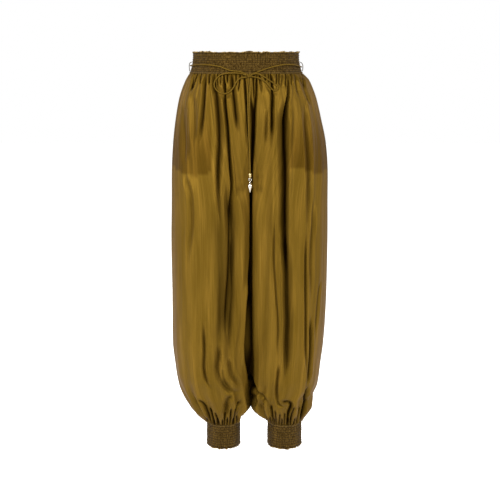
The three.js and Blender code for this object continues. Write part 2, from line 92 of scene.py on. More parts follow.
def through(values, t):
    """A smooth curve through evenly spaced values."""
    v = np.asarray(values, float)
    last = len(v) - 1
    place = np.clip(t, 0, 1) * last
    i = np.minimum(np.floor(place).astype(int), last - 1)
    f = place - i
    p1, p2 = v[i], v[i + 1]
    p0 = np.where(i > 0, v[np.maximum(i - 1, 0)], 2 * p1 - p2)
    p3 = np.where(i < last - 1, v[np.minimum(i + 2, last)], 2 * p2 - p1)
    curve = 2 * p1 + (p2 - p0) * f + (2 * p0 - 5 * p1 + 4 * p2 - p3) * f * f
    return 0.5 * (curve + (3 * p1 - p0 - 3 * p2 + p3) * f ** 3)


def at(table, column, z):
    """One column of a table at height z, with smooth slopes between its rows."""
    heights = np.array([row[0] for row in table], float)
    values = np.array([row[column] for row in table], float)
    z = np.asarray(z, float)
    i = np.clip(np.searchsorted(-heights, -z, side="left") - 1, 0, len(table) - 2)
    before, after = np.maximum(i - 1, 0), np.minimum(i + 2, len(table) - 1)
    step = heights[i + 1] - heights[i]
    t = np.clip((z - heights[i]) / step, 0, 1)
    slope_a = step * (values[i + 1] - values[before]) / (heights[i + 1] - heights[before])
    slope_b = step * (values[after] - values[i]) / (heights[after] - heights[i])
    change = values[i + 1] - values[i]
    return (values[i] + slope_a * (t - 2 * t * t + t ** 3) + slope_b * (t ** 3 - t * t)
            + change * (3 * t * t - 2 * t ** 3))


# Pieces
def facing_out(points, faces):
    """Faces of a closed surface, turned to look outward; a triangle repeats one corner."""
    first, second, third, fourth = (points[faces[:, k]] for k in range(4))
    volume = np.einsum("ij,ij->", first, np.cross(second, third) + np.cross(third, fourth))
    return faces[:, ::-1] if volume < 0 else faces


def piece(name, node, points, faces, uv, material, slot, body="garment", marks=None):
    """A mesh in place of a solid: points in metres, a uv pair for each, marks for one layer of a wall."""
    mesh = bpy.data.meshes.new(name)
    corners = facing_out(points, faces).tolist()
    mesh.from_pydata(points.tolist(), [], [list(dict.fromkeys(face)) for face in corners])
    mesh.polygons.foreach_set("use_smooth", [True] * len(mesh.polygons))
    if uv is not None:
        layer = mesh.uv_layers.new(name="cloth")
        order = np.empty(len(mesh.loops), int)
        mesh.loops.foreach_get("vertex_index", order)
        layer.data.foreach_set("uv", uv[order].ravel())
    for mark, values in (marks or {}).items():
        mesh.attributes.new(mark, "FLOAT", "POINT").data.foreach_set("value", np.tile(values.ravel(), 2))
    mesh.update()
    mesh.materials.append(material)
    made = linked(name, mesh)
    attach(made, body)
    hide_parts(node)
    return made


def grid_faces(rows, columns, round_, start=0):
    """Four-cornered faces of a grid of points that is numbered row by row."""
    r, c = np.meshgrid(np.arange(rows - 1), np.arange(columns if round_ else columns - 1), indexing="ij")
    after = (c + 1) % columns
    corners = [r * columns + c, (r + 1) * columns + c, (r + 1) * columns + after, r * columns + after]
    return np.stack([corner.ravel() for corner in corners], 1) + start


def capped_faces(rows, columns):
    """Faces of a round grid that closes to one more point at each end."""
    c = np.arange(columns)
    after = (c + 1) % columns
    low = (rows - 1) * columns
    head = np.full(columns, rows * columns)
    first = np.stack([head, c, after, after], 1)
    last = np.stack([low + after, low + c, head + 1, head + 1], 1)
    return np.concatenate([grid_faces(rows, columns, True), first, last])


def wall(layers, across, z, round_):
    """Points, faces and uv of a closed wall between an outer and an inner grid of points in millimetres."""
    rows, columns = z.shape
    count = rows * columns
    c = np.arange(columns if round_ else columns - 1)
    after = (c + 1) % columns
    low = count - columns
    faces = [grid_faces(rows, columns, round_), grid_faces(rows, columns, round_, count)[:, ::-1],
             np.stack([c, after, after + count, c + count], 1),
             np.stack([low + c + count, low + after + count, low + after, low + c], 1)]
    if not round_:
        r = np.arange(rows - 1) * columns
        faces.append(np.stack([r + count, r + columns + count, r + columns, r], 1))
        r = r + columns - 1
        faces.append(np.stack([r, r + columns, r + columns + count, r + count], 1))
    points = np.vstack([layer.reshape(-1, 3) for layer in layers]) * MM
    uv = np.tile(np.stack([across, z * MM], -1).reshape(-1, 2), (2, 1))
    return points, np.concatenate(faces), uv


# Materials
def tone(code):
    """An sRGB hex colour as linear light."""
    parts = [int(code[i:i + 2], 16) / 255 for i in (1, 3, 5)]
    return tuple(c / 12.92 if c <= 0.04045 else ((c + 0.055) / 1.055) ** 2.4 for c in parts) + (1.0,)


def new_material(name):
    material = bpy.data.materials.new(name)
    material.use_nodes = True
    material.node_tree.nodes.clear()
    return material


def add(tree, kind, links=None, stops=(), **settings):
    """Adds one node; settings are its own properties or, as in_<number or name>, its inputs."""
    node = tree.nodes.new(kind)
    for key, value in settings.items():
        if key.startswith("in_"):
            label = key[3:].replace("_", " ")
            node.inputs[int(label) if label.isdigit() else label].default_value = value
        else:
            setattr(node, key, value)
    for key, source in (links or {}).items():
        tree.links.new(source, node.inputs[key])
    if stops:
        elements = node.color_ramp.elements
        while len(elements) < len(stops):
            elements.new(0.5)
        for element, (place, code) in zip(elements, stops):
            element.position = place
            element.color = tone(code)
    return node


# Grain of the satin: lumps in a metre across and along the warp, detail, roughness
GRAIN = [
    # Warp streaks: threads of 0.1 mm can't show, so slubs about 2 mm wide and 150 mm long stand for them
    ((420, 7, 1), 4.0, 0.62),
    # Broad streaks about 24 mm wide and 200 mm long
    ((42, 5, 1), 2.0, 0.5),
    # Grain of the weave, 0.8 mm across where that of the real cloth is 0.15 mm
    ((1250, 1250, 1), 1.0, 0.5),
    # Painted shade of uneven puckers of the shirred cloth, about 3 mm wide and 6 mm high
    ((330, 170, 1), 2.0, 0.5),
]
SHINE_TINT = tone("#C79A3C")


def satin(name, colours, roughness, sheen, lustre, pocket=False, band=False):
    """Silk satin, woven with long floats: a soft lustre, thread streaks along the warp."""
    material = new_material(name)
    tree = material.node_tree
    cloth = add(tree, "ShaderNodeUVMap", uv_map="cloth").outputs["UV"]
    grain = []
    for scale, detail, rough in GRAIN if band else GRAIN[:3]:
        place = add(tree, "ShaderNodeMapping", {"Vector": cloth}, in_Scale=scale).outputs[0]
        lumps = add(tree, "ShaderNodeTexNoise", {"Vector": place}, in_Scale=1.0, in_Detail=detail,
                    in_Roughness=rough)
        grain.append(lumps.outputs["Fac"])
    streaks, broad, weave = grain[:3]
    both = add(tree, "ShaderNodeMix", {"A": streaks, "B": broad}, data_type="FLOAT", in_Factor=0.45)
    ramp = add(tree, "ShaderNodeValToRGB", {"Fac": both.outputs["Result"]},
               stops=list(zip((0.30, 0.5, 0.70), colours)))
    colour = ramp.outputs["Color"]
    names = ["pocket", "painted_shade"] if pocket else ["painted_band_shade", "edge"] if band else []
    marks = [add(tree, "ShaderNodeAttribute", attribute_name=mark).outputs["Fac"] for mark in names]
    layers = []
    if pocket:
        # Painted shade: darker where the pocket bag lies behind the cloth, and darker still in the folds, in
        # the gap between the legs and below the cords, where the cloth lies close on itself so that little
        # light gets back out
        layers = [(marks[0], "MULTIPLY", "#CBC4B4"), (marks[1], "MULTIPLY", "#3A3122")]
    if band:
        # Painted shade in uneven patches the size of the puckers
        uneven = add(tree, "ShaderNodeMapRange", {"Value": grain[3]}, in_1=0.36, in_2=0.62, in_3=1.0,
                     in_4=0.0)
        # Then painted shade in the grooves and below the drawstring, and a paler frill edge with a painted
        # highlight along the seam ridge
        layers = [(uneven.outputs["Result"], "MULTIPLY", "#8A8069"), (marks[0], "MULTIPLY", "#4A4131"),
                  (marks[1], "MIX", "#B89A60")]
    for share, way, code in layers:
        tinted = add(tree, "ShaderNodeMix", {0: share, 6: colour}, data_type="RGBA", blend_type=way,
                     in_7=tone(code))
        colour = tinted.outputs[2]
    gloss = add(tree, "ShaderNodeMapRange", {"Value": streaks}, in_3=roughness - 0.05, in_4=roughness + 0.07)
    relief = add(tree, "ShaderNodeMix", {"A": streaks, "B": weave}, data_type="FLOAT", in_Factor=0.3)
    bump = add(tree, "ShaderNodeBump", {"Height": relief.outputs["Result"]}, in_Strength=0.16,
               in_Distance=0.0006)
    links = {"Base Color": colour, "Roughness": gloss.outputs["Result"], "Normal": bump.outputs["Normal"]}
    # Where shade is painted, the shine is turned down too, so that no highlight shows in it
    if pocket:
        specular_under_painted_shade = add(tree, "ShaderNodeMapRange", {"Value": marks[1]}, in_3=0.5, in_4=0.04)
        links["Specular IOR Level"] = specular_under_painted_shade.outputs["Result"]
    shader = add(tree, "ShaderNodeBsdfPrincipled", links, in_Sheen_Weight=sheen, in_Sheen_Roughness=0.4,
                 in_Sheen_Tint=tone("#A87C1E"), in_Specular_Tint=SHINE_TINT, in_IOR=1.42, in_Metallic=lustre)
    add(tree, "ShaderNodeOutputMaterial", {"Surface": shader.outputs["BSDF"]})
    return material


def rouleau_satin():
    """A narrow tube of the same satin turned right side out: soft wrinkles round it."""
    material = new_material("rouleau of silk satin")
    tree = material.node_tree
    cloth = add(tree, "ShaderNodeUVMap", uv_map="cloth").outputs["UV"]
    # Wrinkles about 2 mm across
    turned = add(tree, "ShaderNodeMapping", {"Vector": cloth}, in_Rotation=(0, 0, 0.6),
                 in_Scale=(500, 500, 1)).outputs[0]
    wrinkle = add(tree, "ShaderNodeTexNoise", {"Vector": turned}, in_Scale=1.0, in_Detail=3.0).outputs["Fac"]
    ramp = add(tree, "ShaderNodeValToRGB", {"Fac": wrinkle}, stops=[(0.3, "#523F12"), (0.7, "#7A5F22")])
    bump = add(tree, "ShaderNodeBump", {"Height": wrinkle}, in_Strength=0.4, in_Distance=0.0006)
    shader = add(tree, "ShaderNodeBsdfPrincipled",
                 {"Base Color": ramp.outputs["Color"], "Normal": bump.outputs["Normal"]},
                 in_Roughness=0.5, in_Metallic=0.34, in_Specular_Tint=SHINE_TINT)
    add(tree, "ShaderNodeOutputMaterial", {"Surface": shader.outputs["BSDF"]})
    return material


def spun_thread():
    """Spun polyester sewing thread: matt, with a fine twist of its plies."""
    material = new_material("spun polyester thread")
    tree = material.node_tree
    place = add(tree, "ShaderNodeTexCoord").outputs["Object"]
    # Plies twist every 0.5 mm
    twist = add(tree, "ShaderNodeTexNoise", {"Vector": place}, in_Scale=2000.0, in_Detail=2.0).outputs["Fac"]
    ramp = add(tree, "ShaderNodeValToRGB", {"Fac": twist}, stops=[(0.3, "#362A10"), (0.7, "#58451C")])
    shader = add(tree, "ShaderNodeBsdfPrincipled", {"Base Color": ramp.outputs["Color"]}, in_Roughness=0.8)
    add(tree, "ShaderNodeOutputMaterial", {"Surface": shader.outputs["BSDF"]})
    return material


def plated_metal(name, deep, light, roughness):
    """Cast zinc, tumbled and plated: bright, with a faint orange-peel and rubbed high places."""
    material = new_material(name)
    tree = material.node_tree
    place = add(tree, "ShaderNodeTexCoord").outputs["Object"]
    # Casting ripple about 1 mm across
    ripple = add(tree, "ShaderNodeTexNoise", {"Vector": place}, in_Scale=900.0, in_Detail=3.0).outputs["Fac"]
    ramp = add(tree, "ShaderNodeValToRGB", {"Fac": ripple}, stops=[(0.3, deep), (0.7, light)])
    gloss = add(tree, "ShaderNodeMapRange", {"Value": ripple}, in_3=roughness, in_4=roughness + 0.12)
    bump = add(tree, "ShaderNodeBump", {"Height": ripple}, in_Strength=0.12, in_Distance=0.0003)
    links = {"Base Color": ramp.outputs["Color"], "Roughness": gloss.outputs["Result"],
             "Normal": bump.outputs["Normal"]}
    shader = add(tree, "ShaderNodeBsdfPrincipled", links, in_Metallic=1.0)
    add(tree, "ShaderNodeOutputMaterial", {"Surface": shader.outputs["BSDF"]})
    return material


LEG_SATIN = satin("silk satin", ("#59430F", "#6A5119", "#846524"), roughness=0.45, sheen=0.06, lustre=0.34,
                  pocket=True)
# The band and cuffs are the satin of the legs, coloured darker as painted shade of their shirring
SHADED_BAND_SATIN = satin("shirred silk satin", ("#3E2F17", "#57431F", "#73592A"), roughness=0.50, sheen=0.05,
                   lustre=0.2, band=True)
BAG_SATIN = satin("silk satin pocketing", ("#4C3A18", "#594520", "#665026"), roughness=0.5, sheen=0.06,
                  lustre=0.2)
ROULEAU = rouleau_satin()
THREAD = spun_thread()
GOLD = plated_metal("plated zinc, cream gold", "#C9AE72", "#EAD9A8", 0.18)
SILVER = plated_metal("plated zinc, silver", "#CFC8BC", "#F4F1EA", 0.12)


# Drawstring: routes in metres, the same as the solids follow
CORD_RADIUS = 1.5 * MM
CORD_SIDES = 14
CORD_STEP = 1.6 * MM

WAIST_ROUTE = [
    (0.0026, -0.1046, -0.027), (-0.014, -0.1004, -0.021), (-0.038, -0.0966, -0.018),
    (-0.0632, -0.0872, -0.009), (-0.0874, -0.0756, -0.005), (-0.1125, -0.0564, -0.004),
    (-0.1328, -0.0274, -0.006), (-0.1388, 0, -0.007), (-0.1308, 0.0335, -0.008), (-0.1068, 0.0629, -0.009),
    (-0.0704, 0.0847, -0.010), (-0.024, 0.0969, -0.011), (0.024, 0.0969, -0.011), (0.0704, 0.0847, -0.010),
    (0.1068, 0.0629, -0.009), (0.131, 0.0336, -0.009), (0.1393, 0, -0.010), (0.1348, -0.024, -0.009),
    (0.1211, -0.0471, -0.005), (0.0955, -0.0703, -0.004), (0.0713, -0.0839, -0.008),
    (0.046, -0.0939, -0.015), (0.027, -0.0996, -0.0225), (0.0136, -0.1044, -0.0266),
]
RIGHT_LOOP_ROUTE = [
    (0.0019, -0.110, -0.0288), (-0.012, -0.103, -0.0252), (-0.033, -0.1005, -0.024),
    (-0.053, -0.0965, -0.026), (-0.063, -0.0925, -0.030), (-0.072, -0.0905, -0.0385),
    (-0.077, -0.0905, -0.049), (-0.075, -0.0915, -0.060), (-0.067, -0.0945, -0.069),
    (-0.057, -0.0975, -0.073), (-0.047, -0.1005, -0.073), (-0.036, -0.1045, -0.066),
    (-0.029, -0.107, -0.057), (-0.024, -0.108, -0.047), (-0.016, -0.107, -0.038), (-0.006, -0.108, -0.0348),
    (0.0018, -0.109, -0.0335),
]
LEFT_LOOP_ROUTE = [
    (0.0141, -0.1098, -0.0273), (0.027, -0.1035, -0.0255), (0.043, -0.1045, -0.0325),
    (0.056, -0.1005, -0.041), (0.066, -0.099, -0.0475), (0.0748, -0.0983, -0.054),
    (0.0773, -0.0983, -0.0588), (0.0756, -0.0986, -0.064), (0.0708, -0.0992, -0.0665),
    (0.0656, -0.100, -0.0648), (0.059, -0.1014, -0.0576), (0.049, -0.1038, -0.046),
    (0.037, -0.1063, -0.0385), (0.024, -0.1065, -0.034), (0.0141, -0.109, -0.0326),
]
FRONT_END_ROUTE = [
    (0.0065, -0.109, -0.0363), (0.005, -0.1096, -0.055), (0.0048, -0.113, -0.072), (0.0048, -0.1159, -0.090),
    (0.005, -0.1164, -0.109), (0.0065, -0.1174, -0.150), (0.0085, -0.1182, -0.207),
    (0.010, -0.1185, -0.2647),
]
REAR_END_ROUTE = [
    (0.011, -0.109, -0.036), (0.010, -0.1126, -0.060), (0.0088, -0.1155, -0.086), (0.0083, -0.115, -0.109),
    (0.008, -0.112, -0.150), (0.0092, -0.1086, -0.207), (0.0108, -0.106, -0.2657),
]


def smooth_route(route, step):
    """Even points along the centripetal curve through the route's points."""
    p = np.asarray(route, float)
    p = np.vstack([2 * p[0] - p[1], p, 2 * p[-1] - p[-2]])
    dense = []
    for i in range(1, len(p) - 2):
        knots = [0.0]
        for k in range(i - 1, i + 2):
            knots.append(knots[-1] + max(np.linalg.norm(p[k + 1] - p[k]), 1e-9) ** 0.5)
        t0, t1, t2, t3 = knots
        t = np.linspace(t1, t2, 24, endpoint=False)[:, None]
        a1 = (t1 - t) / (t1 - t0) * p[i - 1] + (t - t0) / (t1 - t0) * p[i]
        a2 = (t2 - t) / (t2 - t1) * p[i] + (t - t1) / (t2 - t1) * p[i + 1]
        a3 = (t3 - t) / (t3 - t2) * p[i + 1] + (t - t2) / (t3 - t2) * p[i + 2]
        b1 = (t2 - t) / (t2 - t0) * a1 + (t - t0) / (t2 - t0) * a2
        b2 = (t3 - t) / (t3 - t1) * a2 + (t - t1) / (t3 - t1) * a3
        dense.append((t2 - t) / (t2 - t1) * b1 + (t - t1) / (t2 - t1) * b2)
    dense = np.vstack(dense + [p[-2:-1]])
    along = np.concatenate([[0], np.cumsum(np.linalg.norm(np.diff(dense, axis=0), axis=1))])
    places = np.linspace(0, along[-1], max(int(round(along[-1] / step)), 2) + 1)
    return np.stack([np.interp(places, along, dense[:, k]) for k in range(3)], 1), along[-1]


def tube(centres, radius, sides, seed, uneven):
    """Points, faces and uv of a tube with closed ends round the centres."""
    tangents = np.gradient(centres, axis=0)
    tangents /= np.linalg.norm(tangents, axis=1)[:, None]
    normal = np.cross(tangents[0], [0, 0, 1.0])
    if np.linalg.norm(normal) < 0.1:
        normal = np.cross(tangents[0], [1.0, 0, 0])
    normals = []
    for tangent in tangents:
        normal = normal - tangent * normal.dot(tangent)
        normal /= np.linalg.norm(normal)
        normals.append(normal)
    normals = np.array(normals)
    sideways = np.cross(tangents, normals)
    angles = np.arange(sides) / sides * 2 * PI
    along = np.concatenate([[0], np.cumsum(np.linalg.norm(np.diff(centres, axis=0), axis=1))])
    wobble = 1 + uneven * noise(angles[None, :] * 1.3, along[:, None] / (4 * radius), seed)
    rings = centres[:, None] + radius * wobble[..., None] * (
        normals[:, None] * np.cos(angles)[None, :, None] + sideways[:, None] * np.sin(angles)[None, :, None])
    points = np.vstack([rings.reshape(-1, 3), centres[:1], centres[-1:]])
    uv = np.stack(np.broadcast_arrays(angles[None, :] * radius, along[:, None]), -1).reshape(-1, 2)
    return points, capped_faces(len(centres), sides), np.vstack([uv, [[0, along[0]], [0, along[-1]]]])


# Each length of the drawstring: piece, solid, route, what holds its far end, how it lies
CORDS = [
    ("rouleau_round_waist", "drawstring_waist", WAIST_ROUTE, "object", "taut"),
    ("rouleau_loop_right", "bow_loop_right", RIGHT_LOOP_ROUTE, "object", "hanging"),
    ("rouleau_loop_left", "bow_loop_left", LEFT_LOOP_ROUTE, "object", "hanging"),
    ("rouleau_end_front", "cord_end_front", FRONT_END_ROUTE, "fitting", "hanging"),
    ("rouleau_end_rear", "cord_end_rear", REAR_END_ROUTE, "fitting", "hanging"),
]
strings = {}
for seed, (name, node, route, far_end, lay) in enumerate(CORDS, 1):
    path, length = smooth_route(route, CORD_STEP)
    made = piece(name, node, *tube(path, CORD_RADIUS, CORD_SIDES, seed, uneven=0.07), ROULEAU, "satin_cord")
    strings[node] = made, path, length, far_end, lay

# The knot: the cord goes twice round the crossing and slants once over its front
KNOT_MIDDLE = (0.008, -0.1084, -0.030)
KNOT_WRAPS = [
    (-0.0046, 0.0005, 0.0012), (-0.0036, -0.0026, 0.0030), (-0.0022, -0.0030, -0.0010),
    (-0.0016, -0.0008, -0.0040), (-0.0010, 0.0022, -0.0022), (-0.0004, 0.0020, 0.0026),
    (0.0004, -0.0014, 0.0042), (0.0014, -0.0036, 0.0006), (0.0022, -0.0022, -0.0034),
    (0.0028, 0.0014, -0.0034), (0.0032, 0.0022, 0.0016), (0.0036, -0.0008, 0.0036),
    (0.0046, -0.0024, 0.0006), (0.0046, -0.0008, -0.0024),
]
KNOT_RADIUS = 1.45 * MM
knot_path, _ = smooth_route(np.add(KNOT_MIDDLE, KNOT_WRAPS), 0.7 * MM)
knot_shape = tube(knot_path, KNOT_RADIUS, sides=16, seed=6, uneven=0.05)
knot = piece("tied_knot", "bow_knot", *knot_shape, ROULEAU, "satin_cord")

# Metal at the cord's ends
BEAD_PROFILE = [
    (0.0, 0.0), (1.9, 0.0), (2.7, -0.1), (3.3, -0.9), (3.62, -2.2), (3.74, -4.0), (3.75, -5.5), (3.68, -7.2),
    (3.42, -8.8), (2.8, -10.1), (2.06, -10.8), (1.2, -11.0), (0.0, -11.0),
]
CHARM_PROFILE = [
    (0.0, -1.4), (1.0, -1.4), (1.3, -1.55), (1.6, -2.6), (1.95, -3.6), (3.0, -5.4), (4.8, -7.9),
    (5.7, -10.0), (6.0, -11.66), (5.85, -13.4), (5.16, -15.5), (3.9, -18.6), (2.52, -21.9), (1.5, -25.0),
    (0.9, -26.8), (0.4, -28.1), (0.0, -28.4),
]
EYE = {"radius": 1.6, "wire": 0.5}
RING = {"radius": 3.4, "wire": 0.6}
HINGES = {"front": (10.0, -118.5, -277.5), "rear": (10.8, -106.0, -278.5)}
BEAD_DROP = 12.5
TURNED_SIDES = 48
RING_SIDES = 40
WIRE_SIDES = 14


def turned_shape(profile, place):
    """A profile of radii and heights turned round the upright axis and closed at both ends."""
    radii, heights = np.array(profile).T * MM
    angles = np.arange(TURNED_SIDES) / TURNED_SIDES * 2 * PI
    reach = radii[1:-1, None]
    across, deep = reach * np.cos(angles), reach * np.sin(angles)
    rings = np.stack(np.broadcast_arrays(across, deep, heights[1:-1, None]), -1)
    points = np.vstack([rings.reshape(-1, 3), [[0, 0, heights[0]], [0, 0, heights[-1]]]]) + np.array(place)
    return points, capped_faces(len(radii) - 2, TURNED_SIDES)


def ring_shape(sizes, place, across):
    """A ring of round wire; across is the axis that its hole runs along."""
    a = np.arange(RING_SIDES) / RING_SIDES * 2 * PI
    b = np.arange(WIRE_SIDES) / WIRE_SIDES * 2 * PI
    reach = (sizes["radius"] + sizes["wire"] * np.cos(b))[None, :] * MM
    first, second = reach * np.cos(a)[:, None], reach * np.sin(a)[:, None]
    third = np.broadcast_to((sizes["wire"] * np.sin(b) * MM)[None, :], first.shape)
    order = {"x": (third, first, second), "y": (first, third, second)}[across]
    faces = grid_faces(RING_SIDES + 1, WIRE_SIDES, True) % (RING_SIDES * WIRE_SIDES)
    return np.stack(order, -1).reshape(-1, 3) + np.array(place), faces


def joined(shapes):
    """Points and faces of several closed shapes as one, with no uv."""
    points, faces = np.empty((0, 3)), []
    for shape_points, shape_faces in shapes:
        faces.append(facing_out(shape_points, shape_faces) + len(points))
        points = np.vstack([points, shape_points])
    return points, np.concatenate(faces), None


for end, (x, y, z) in HINGES.items():
    lifts = (BEAD_DROP, 0, -RING["radius"], -2 * RING["radius"])
    bead_top, hinge, ring_middle, charm_eye = ((x * MM, y * MM, (z + lift) * MM) for lift in lifts)
    bead = joined([turned_shape(BEAD_PROFILE, bead_top), ring_shape(EYE, hinge, "x")])
    ring = joined([ring_shape(RING, ring_middle, "y")])
    charm = joined([turned_shape(CHARM_PROFILE, charm_eye), ring_shape(EYE, charm_eye, "x")])
    piece("bead_" + end, "end_bead_" + end, *bead, GOLD, "gold_metal")
    piece("split_ring_" + end, "ring_" + end, *ring, SILVER, "silver_metal", "charm_" + end)
    piece("spindle_charm_" + end, "charm_" + end, *charm, SILVER, "silver_metal", "charm_" + end)

# Thread loops at the side seams, which carry the drawstring
THREAD_LOOPS = {
    "right": [(-133.8, -6, 2), (-138.5, -6, 1), (-141.3, -6, -3.5), (-141.7, -6, -8), (-141.5, -6, -15),
              (-141, -6, -21)],
    "left": [(133.8, -6, 2), (138.5, -6, 0), (141.6, -6, -5), (142.1, -6, -10), (141.8, -6, -16),
             (141, -6, -21)],
}
THREAD_LOOP_RADIUS = 0.85 * MM
for side, route in THREAD_LOOPS.items():
    centres, _ = smooth_route(np.multiply(route, MM), 0.6 * MM)
    strand = tube(centres, THREAD_LOOP_RADIUS, sides=12, seed=7, uneven=0.18)
    piece("thread_loop_strand_" + side, "thread_loop_" + side, *strand, THREAD, "thread")

# Body and legs: the same named sizes and tables as the solids
WALL = 0.8
WAIST_SEAM = -26.0
CROTCH = -400.0
CUFF_SEAM = -928.0
BLEND_TOP = -80.0
# Height, then where the middle line between the legs stands
MIDDLE = [
    (-26, 2), (-60, 8), (-110, 15), (-150, 18), (-215, 18), (-270, 14.5), (-330, 12.4), (-400, 12),
    (-500, 12),
]
FULLNESS = 0.85
INNER_FULLNESS = 0.62

# Height, then the half width and half depth of the waistband
WAIST_SECTIONS = [
    (28, 133.5, 94), (21, 131.5, 92), (7, 132, 92), (-8, 134.5, 93.5), (-18, 137.5, 96), (-26, 140.5, 98),
]
# Height, the outer edge of the right and left leg, the depth of front and back
RIGHT, LEFT, FRONT, BACK = 1, 2, 3, 4
BODY_SECTIONS = [
    (-26, -141.5, 142.5, 98, 98), (-33, -145, 149, 101, 102), (-42, -150, 157, 104, 107),
    (-67, -161, 169, 109, 116), (-92, -169, 178, 114, 124), (-142, -178, 190, 121, 135),
    (-193, -184, 201, 126, 140), (-256, -188, 207, 129, 140), (-346, -189, 208, 129, 136),
    (-450, -191, 209, 127, 131), (-607, -190, 207, 124, 126), (-713, -190, 201, 122, 121),
    (-767, -185, 194, 116, 117), (-798, -181, 191, 113, 115), (-824, -175, 186, 105, 109),
    (-837, -170, 180, 101, 103), (-850, -163, 173, 97, 99), (-863, -156, 171, 91, 93),
    (-876, -148, 169, 85, 87), (-889, -140, 167, 78, 80), (-902, -131, 161, 70, 72),
    (-915, -118, 153, 61, 62), (-928, -103, 145, 52, 52),
]
# Height, the inner edge of the right and left leg
INSEAM = [
    (-400, 12, 12), (-500, 12, 12), (-866, 12, 12), (-876, 12, 12), (-886, 8.5, 15), (-895, 2, 20),
    (-904, -5.5, 28), (-912, -12, 37), (-920, -16, 48), (-928, -17, 57),
]


def seen(px, py):
    """Where a point of the front lies, in millimetres, when it is placed by the photograph's pixels."""
    camera_x, camera_away = CAMERA_PLACE[0] / MM, -CAMERA_PLACE[1] / MM
    down = CAMERA_TILT_DOWN + math.atan((py - PHOTO_PIXELS / 2) / FOCAL_PIXELS)
    reach, z = 120.0, -100.0
    for _ in range(4):
        z = -(camera_away - reach) * math.tan(down)
        reach = float(at(BODY_SECTIONS, FRONT, z)) * 0.98
    away = (camera_away - reach) * math.cos(CAMERA_TILT_DOWN) - z * math.sin(CAMERA_TILT_DOWN)
    return camera_x + (px - PHOTO_PIXELS / 2) * away / FOCAL_PIXELS, z


# Width of a pixel on the front, in millimetres
PIXEL = 2.44
